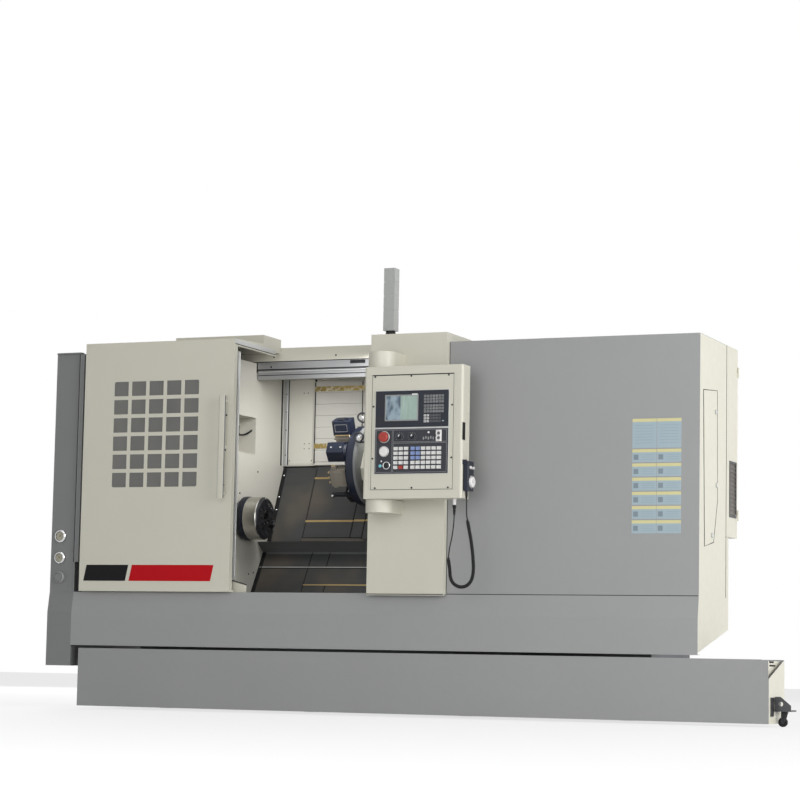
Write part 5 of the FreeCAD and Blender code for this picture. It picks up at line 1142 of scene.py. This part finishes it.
scatter("board_toggles", "toggle", [(x, front - 0.0005, z) for x, z in b["toggles"]], "panel_unit", "keyGrey")

# pendant: label plate, dial ring with marks, holder bracket, strain reliefs of its lead
pendantPlan = {"wheel": (-0.855, 1.29), "ring": 0.0325, "marks": 20, "marksAway": 0.0365,
               "reliefs": (("pendant_relief", (0.502, -0.85, 1.228), 1.199, 0.0075),
                           ("plug_relief", (0.431, -0.85, 1.14), 1.108, 0.0085)),
               "narrow": 0.0045, "ribs": 5}
q = pendantPlan
layPlates("panel_unit", "panelBlack",
          ("pendant_plate", (0.5285, -0.8895, 1.25), (0.53, -0.8205, 1.394), "X", 0.003, 0.0003, 0.0004))
layPlates("panel_unit", "navyPaint",
          ("pendant_cradle", (0.495, -0.902, 1.385), (0.52, -0.898, 1.41), "-Y", 0.004, -0.001, 0.001))
y, z = q["wheel"]
settle(startRing("wheel_ring", (0.5312, y, z), q["ring"], 0.0018, "X"), "panel_unit", "aluminiumTrim")
turns = [math.tau * i / q["marks"] for i in range(q["marks"])]
markRing("wheel_marks", (0.0004, 0.0004, 0.0016), (1, 0.6, 1),
         [((0.5305, y - math.sin(turn) * q["marksAway"], z + math.cos(turn) * q["marksAway"]), (turn, 0, 0))
          for turn in turns], "panel_unit", "keyWhite")
for name, (x, y, z), low, wide in q["reliefs"]:
    # a tapered rubber sleeve with ribs round the lead, narrow end down
    sleeve = startRound(name, (x, y, (z + low) / 2), wide, z - low, "Z", 20)
    scaleFace(sleeve, "-Z", (q["narrow"] / wide, q["narrow"] / wide, 1), (x, y, low))
    pick(sleeve, lambda centre, normal: abs(normal.z) < 0.5)
    bpy.ops.mesh.subdivide(number_cuts=q["ribs"])
    bpy.ops.object.mode_set(mode="OBJECT")
    settle(softEdges(sleeve, 0.0004, 1, 25), "panel_unit", "blackRubber")

# right cover: plain cards where the photograph shows a block of labels
cardPlan = {"left": 1.38, "right": 1.655, "top": 1.64, "front": -0.64, "gap": 0.003, "topHeight": 0.16,
            "header": 0.017, "rows": 6, "rowHeight": 0.0705, "rowGap": 0.006, "pitch": 0.077,
            "longLines": (7, 0.036, 0.016), "lines": (3, 0.031, 0.012), "lineShift": 0.16, "patchShift": -0.34,
            "patchDrop": 0.043}


def makeCards(plan):
    half = (plan["left"] + plan["right"]) / 2
    wide = half - plan["left"] - plan["gap"] / 2
    front, header, top = plan["front"], plan["header"], plan["top"]

    def linesBelow(x, start, spec):
        # number of lines, how far the first one is below the start, and their pitch
        count, drop, pitch = spec
        return [(x, front, start - drop - pitch * i) for i in range(count)]

    places = {"bodies": [], "tall_bodies": [], "headers": [], "lines": [], "long_lines": [], "patches": []}
    for x in (plan["left"] + wide / 2, plan["right"] - wide / 2):
        places["tall_bodies"].append((x, front, top - (plan["topHeight"] + header) / 2))
        places["headers"].append((x, front, top - header / 2))
        places["long_lines"] += linesBelow(x, top, plan["longLines"])
        for row in range(plan["rows"]):
            rowTop = top - plan["topHeight"] - plan["rowGap"] - plan["pitch"] * row
            places["headers"].append((x, front, rowTop - header / 2))
            places["bodies"].append((x, front, rowTop - (plan["rowHeight"] + header) / 2))
            places["patches"].append((x + wide * plan["patchShift"], front, rowTop - plan["patchDrop"]))
            places["lines"] += linesBelow(x + wide * plan["lineShift"], rowTop, plan["lines"])
    for kind, width, height, thick, paint in (
            ("bodies", wide, plan["rowHeight"] - header, 0.0006, "cardBlue"),
            ("tall_bodies", wide, plan["topHeight"] - header, 0.0006, "cardBlue"),
            ("headers", wide, header, 0.0009, "cardYellow"), ("lines", wide * 0.52, 0.003, 0.0009, "cardLine"),
            ("long_lines", wide * 0.76, 0.003, 0.0009, "cardLine"),
            ("patches", wide * 0.2, 0.028, 0.0009, "cardInk")):
        card = plate("card_model", (-width / 2, -thick, -height / 2), (width / 2, 0.0004, height / 2), "-Y",
                     min(width, height) * 0.06, 0.0001, 0.0003, 0.0002, 1)
        scatter("card_" + kind, card, places[kind], "machine", paint)
        bpy.data.objects.remove(card)


makeCards(cardPlan)

# seams of the front covers: under the right cover, beside the pillar, at the pillar's roof
joinPlates("cover_seams", "machine", "blackRubber",
           [(low, high, "-Y", 0.0008, -0.0004, 0.0003) for low, high in (
               ((0.306, -0.6412, 0.6825), (1.754, -0.6385, 0.6862)),
               ((0.3045, -0.6412, 0.69), (0.3085, -0.6385, 2.096)),
               ((-0.161, -0.6815, 0.679), (0.3055, -0.6785, 0.6835)))])

# right end: a five-sided service hatch with its catches, the cabinet's seam, window and louvre
hatchPlan = {"face": 1.757, "middle": (-0.42, 1.35),
             "outline": ((-0.566, 1.797), (-0.302, 1.82), (-0.287, 1.222), (-0.365, 0.986), (-0.533, 0.956)),
             "catches": [(1.7595, -0.335, 1.7), (1.7595, -0.315, 1.3), (1.7595, -0.4, 1.02)]}


def fiveSided(name, plan, thick, grow):
    # a five-sided cylinder whose corners are moved to the hatch's own, grown outwards a little
    cy, cz = plan["middle"]
    middle = plan["face"] + thick / 2 - 0.0005
    lid = startRound(name, (middle, cy, cz), 0.3, thick, "X", 5)
    spots = sorted(plan["outline"], key=lambda s: math.atan2(s[1] - cz, s[0] - cy))
    for side in (True, False):
        group = sorted((v for v in lid.data.vertices if (v.co.x > middle) == side),
                       key=lambda v: math.atan2(v.co.z - cz, v.co.y - cy))
        for vertex, (y, z) in zip(group, spots):
            vertex.co.y = y + math.copysign(grow[0], y - cy)
            vertex.co.z = z + math.copysign(grow[1], z - cz)
    return lid


seal = raiseFace(fiveSided("hatch_seal", hatchPlan, 0.0012, (0.011, 0.004)), "X", 0.002, 0.0001)
settle(softEdges(seal, 0.0003, 1), "machine", "blackRubber")
lid = raiseFace(fiveSided("side_hatch", hatchPlan, 0.0018, (0, 0)), "X", 0.01, 0.0004, 0.001)
settle(softEdges(lid, 0.0004), "machine", "creamPaint")
catch = raiseFace(startRound("catch_model", (0, 0, 0.003), 0.014, 0.006, "Z", 20), "Z", 0.003, -0.0015)
models["catch"] = softEdges(catch, 0.001)
scatter("hatch_catches", "catch", hatchPlan["catches"], "machine", "aluminiumTrim", "X")
layPlates("machine", "blackRubber",
          ("cabinet_side_seam", (1.756, -0.108, 0.69), (1.758, -0.102, 2.098), "X", 0.0012, -0.0005, 0.0003))
settle(softEdges(openFrame("cabinet_window_frame", (1.755, -0.04, 1.142), (1.7605, 0.107, 1.458), 0, 0.014),
                 0.0015), "machine", "carrierIron")
layPlates("machine", "warmSteel",
          ("louvre_screen", (1.753, -0.03, 1.15), (1.7548, 0.097, 1.45), "X", 0.004, -0.0004, 0.0003))


def makeSlats(name, low, high, rows, step, edge, body, paint):
    # leaning slats between two corners in x and y; rows: number, lowest level, pitch and height in z
    count, first, pitch, height = rows
    slats = [shiftFace(startBox("slat", (*low, z), (*high, z + height)), "Z", step)
             for z in (first + pitch * i for i in range(count))]
    settle(softEdges(joinAll(name, slats), edge, 1), body, paint)


makeSlats("cabinet_louvre", (1.753, -0.0255), (1.759, 0.0925), (12, 1.161, 0.0235, 0.0115), (-0.0045, 0, 0), 0.0008,
          "machine", "warmSteel")

# cabinet door at the rear: handle and vents
cabinetPlan = {"vents": ((9, 1.594, 0.0325, 0.012), (5, 1.174, 0.03, 0.012)),
               "pull": ((1.335, 0.1375, 1.5), (1.375, 0.145, 1.66)),
               "grip": ((1.348, 0.142, 1.52), (1.362, 0.158, 1.64))}
pull = raiseFace(startBox("cabinet_pull", *cabinetPlan["pull"]), "Y", 0.006, -0.003)
grip = scaleFace(startBox("cabinet_grip", *cabinetPlan["grip"]), "Y", (0.7, 1, 0.86), (1.355, 0.158, 1.58))
settle(softEdges(joinAll("cabinet_handle", [pull, grip]), 0.0015), "cabinet_leaf", "blackOxide")
for i, rows in enumerate(cabinetPlan["vents"]):
    makeSlats("cabinet_vents_%d" % (i + 1), (1.43, 0.137), (1.63, 0.144), rows, (0, -0.006, 0), 0.001,
              "cabinet_leaf", "creamPaint")

# rear and roof: bolted service panels, a vent, lifting eyes and lids
backPlan = {"panels": ((-2.05, -1.1), (-1.00, 0.1), (0.2, 1.15)), "height": (0.55, 1.55), "seal": 0.007,
            "screwEdge": 0.01, "eyes": [(x, 0.2, 2.1195) for x in (-1.95, -0.8, 0.95)],
            "roofLids": ((-1.02, -0.3), (0.4, 1.2)), "louvres": (14, 1.12, 0.024, 0.012)}
z0, z1 = backPlan["height"]
inset, seal = backPlan["screwEdge"], backPlan["seal"]
for i, (x0, x1) in enumerate(backPlan["panels"]):
    number = "_%d" % (i + 1)
    layPlates("machine", "blackRubber",
              ("rear_panel_gasket" + number, (x0 - seal, 0.938, z0 - seal), (x1 + seal, 0.9403, z1 + seal), "Y",
               0.003, 0.0001, 0.0001))
    layPlates("machine", "creamPaint", ("rear_panel" + number, (x0, 0.9385, z0), (x1, 0.9408, z1), "Y", 0.018, 0.0004,
                                        0.0006, 0.001))
    columns = (x0 + inset, (x0 + x1) / 2, x1 - inset)
    rows = (z0 + inset, (z0 + z1) / 2, z1 - inset)
    scatter("rear_panel_screws" + number, "fineScrew",
            [(x, 0.9393, z) for x in columns for z in rows if (x, z) != (columns[1], rows[1])],
            "machine", "blackOxide", "Y")
layPlates("machine", "blackOxide",
          ("rear_louvre_screen", (-0.64, 0.939, 1.1), (-0.26, 0.9409, 1.466), "Y", 0.01, 0.0002, 0.0002))
makeSlats("rear_louvres", (-0.62, 0.938), (-0.28, 0.9416), backPlan["louvres"], (0, -0.003, 0), 0.001, "machine",
          "creamPaint")
eyeBase = raiseFace(startRound("eye_base", (0, 0, 0.006), 0.03, 0.012, "Z", 24), "Z", 0.008, 0.008, 0.003)
eyeRing = startRing("eye_ring", (0, 0, 0.046), 0.026, 0.008, "Y", 28)
models["eye"] = joinAll("eye_model", [softEdges(eyeBase, 0.0015), eyeRing])
scatter("lifting_eyes", "eye", backPlan["eyes"], "machine", "castIron")
joinPlates("roof_lids", "machine", "creamPaint",
           [((x0, 0.00, 2.119), (x1, 0.34, 2.1225), "Z", 0.018, 0.002, 0.0012) for x0, x1 in backPlan["roofLids"]])

# signal lamp: dark neck, foot and cap
lampPlan = {"x": -0.0945, "y": -0.5565, "neck": 0.026, "foot": 0.046, "capHalf": 0.033}
x, y, half = lampPlan["x"], lampPlan["y"], lampPlan["capHalf"]
neck = raiseFace(startRound("lamp_neck", (x, y, 2.168), lampPlan["neck"], 0.034, "Z", 28), "Z", 0.004, -0.002)
scaleFace(neck, "-Z", (1.25, 1.25, 1), (x, y, 2.151))
settle(softEdges(neck, 0.0015), "machine", "blackRubber")
foot = raiseFace(startRound("lamp_foot", (x, y, 2.1515), lampPlan["foot"], 0.005, "Z", 32), "Z", 0.006, 0.001)
settle(softEdges(foot, 0.001), "machine", "aluminiumTrim")
cap = startBox("lamp_cap", (x - half, y - half, 2.5365), (x + half, y + half, 2.545))
scaleFace(cap, "Z", (0.93, 0.93, 1), (x, y, 2.545))
settle(softEdges(raiseFace(cap, "Z", 0.006, -0.001), 0.0015), "machine", "aluminiumTrim")

# coolant tank's right end: sheet, plate and slots inside the cut corner, the filter, the carrier's bolts
layPlates("machine", "tankPaint", ("tank_corner_sheet", (2.088, -0.6594, 0.245), (2.1405, -0.6565, 0.349), "-Y",
                                   0.002, -0.0003, 0.0003))
layPlates("machine", "creamPaint", ("tank_corner_plate", (2.1195, -0.654, 0.26), (2.1225, -0.345, 0.3455), "X",
                                    0.006, 0.0006, 0.0005))
joinPlates("tank_corner_slots", "machine", "blackRubber",
           [((2.1222, y0, z0), (2.1236, y1, z1), "X", 0.0015, -0.0005, 0.0003)
            for y0, y1, z0, z1 in ((-0.569, -0.475, 0.335, 0.3445), (-0.568, -0.441, 0.317, 0.326))])
layPlates("machine", "aluminiumTrim",
          ("tank_filter_plate", (1.98, -0.655, 0.326), (2.102, -0.335, 0.332), "Z", 0.01, -0.002, 0.001))
joinPlates("tank_filter_slots", "machine", "blackOxide",
           [((2.000, y, 0.3305), (2.085, y + 0.016, 0.333), "Z", 0.002, -0.001, 0.0006)
            for y in (-0.62, -0.58, -0.54, -0.5, -0.46, -0.42)])
scatter("carrier_bolts", "bolt", [(2.151, -0.478, 0.1), (2.151, -0.478, 0.14)], "machine", "blackOxide", "X")
layPlates("machine", "blackOxide",
          ("carrier_heel_plate", (2.1455, -0.63, 0.055), (2.15, -0.57, 0.155), "X", 0.008, 0.0015, 0.0012))

for model in models.values():
    bpy.data.objects.remove(model)
print("stage: detail pieces modelled")

# soft studio: a lamp is its place, its size in metres and its power; the inside one lights the work area
studio = {"world": 0.26, "target": (0, -0.4, 1.1), "lamps": {
    "right": (9.0, -4.5, 3.2, 5.0, 505), "front": (2.0, -10.0, 2.2, 6.0, 345), "above": (0.5, -1.5, 8.0, 6.0, 60),
    "side": (10.5, 1.2, 1.0, 3.5, 330), "rear": (-7.0, 8.0, 4.5, 6.0, 420)},
    "inside": (-0.42, -0.34, 1.93, 0.5, 3.5), "insideTarget": (-1.15, 0.15, 1.25), "insideSpread": 105,
    "sky": (0.96, 0.98, 1.0), "floor": (0.84, 0.84, 0.84), "floorRough": 0.7, "floorGlow": 0.72, "floorSize": 60}


def softLamp(name, spec, target):
    x, y, z, size, power = spec
    light = bpy.data.lights.new(name, "AREA")
    light.size = size
    light.energy = power
    lamp = bpy.data.objects.new(name, light)
    bpy.context.scene.collection.objects.link(lamp)
    lamp.location = (x, y, z)
    lamp.rotation_euler = (Vector(target) - Vector((x, y, z))).to_track_quat("-Z", "Y").to_euler()
    return lamp


def seenDirectly(tree):
    # 1 for rays from the camera, and for those it sees in a reflection or through glass
    path = addNode(tree, "LightPath").outputs
    total = path["Is Camera Ray"]
    for other in ("Is Glossy Ray", "Is Transmission Ray"):
        total = sumOf(tree, "MAXIMUM", total, path[other])
    return total


def makeStudio(plan):
    for name, spec in plan["lamps"].items():
        softLamp(name + "_lamp", spec, plan["target"])
    lamp = softLamp("inside_lamp", plan["inside"], plan["insideTarget"])
    lamp.data.spread = math.radians(plan["insideSpread"])
    lamp.visible_camera = False
    world = bpy.data.worlds.new("studio")
    bpy.context.scene.world = world
    world.use_nodes = True
    tree = world.node_tree
    tree.nodes.clear()
    lit = addNode(tree, "Background", {"Color": plan["sky"], "Strength": plan["world"]}).outputs[0]
    seen = addNode(tree, "Background", {"Color": (1, 1, 1)}).outputs[0]
    mix = addNode(tree, "MixShader", {"Fac": seenDirectly(tree), 1: lit, 2: seen})
    addNode(tree, "OutputWorld", {"Surface": mix.outputs[0]})
    bpy.ops.mesh.primitive_plane_add(size=plan["floorSize"], location=(0, 0, 0))
    floor = bpy.context.object
    floor.name = "floor"
    material, tree, surface = newMaterial("floorPale", {"Base Color": plan["floor"], "Roughness": plan["floorRough"]})
    glow = addNode(tree, "Emission").outputs[0]
    share = sumOf(tree, "MULTIPLY", seenDirectly(tree), plan["floorGlow"])
    blend = addNode(tree, "MixShader", {"Fac": share, 1: surface.outputs["BSDF"], 2: glow})
    connect(tree, blend.outputs[0], tree.nodes["Material Output"].inputs["Surface"])
    floor.data.materials.append(material)
    bpy.context.scene.view_settings.view_transform = "Standard"


makeStudio(studio)
print("stage: studio set")
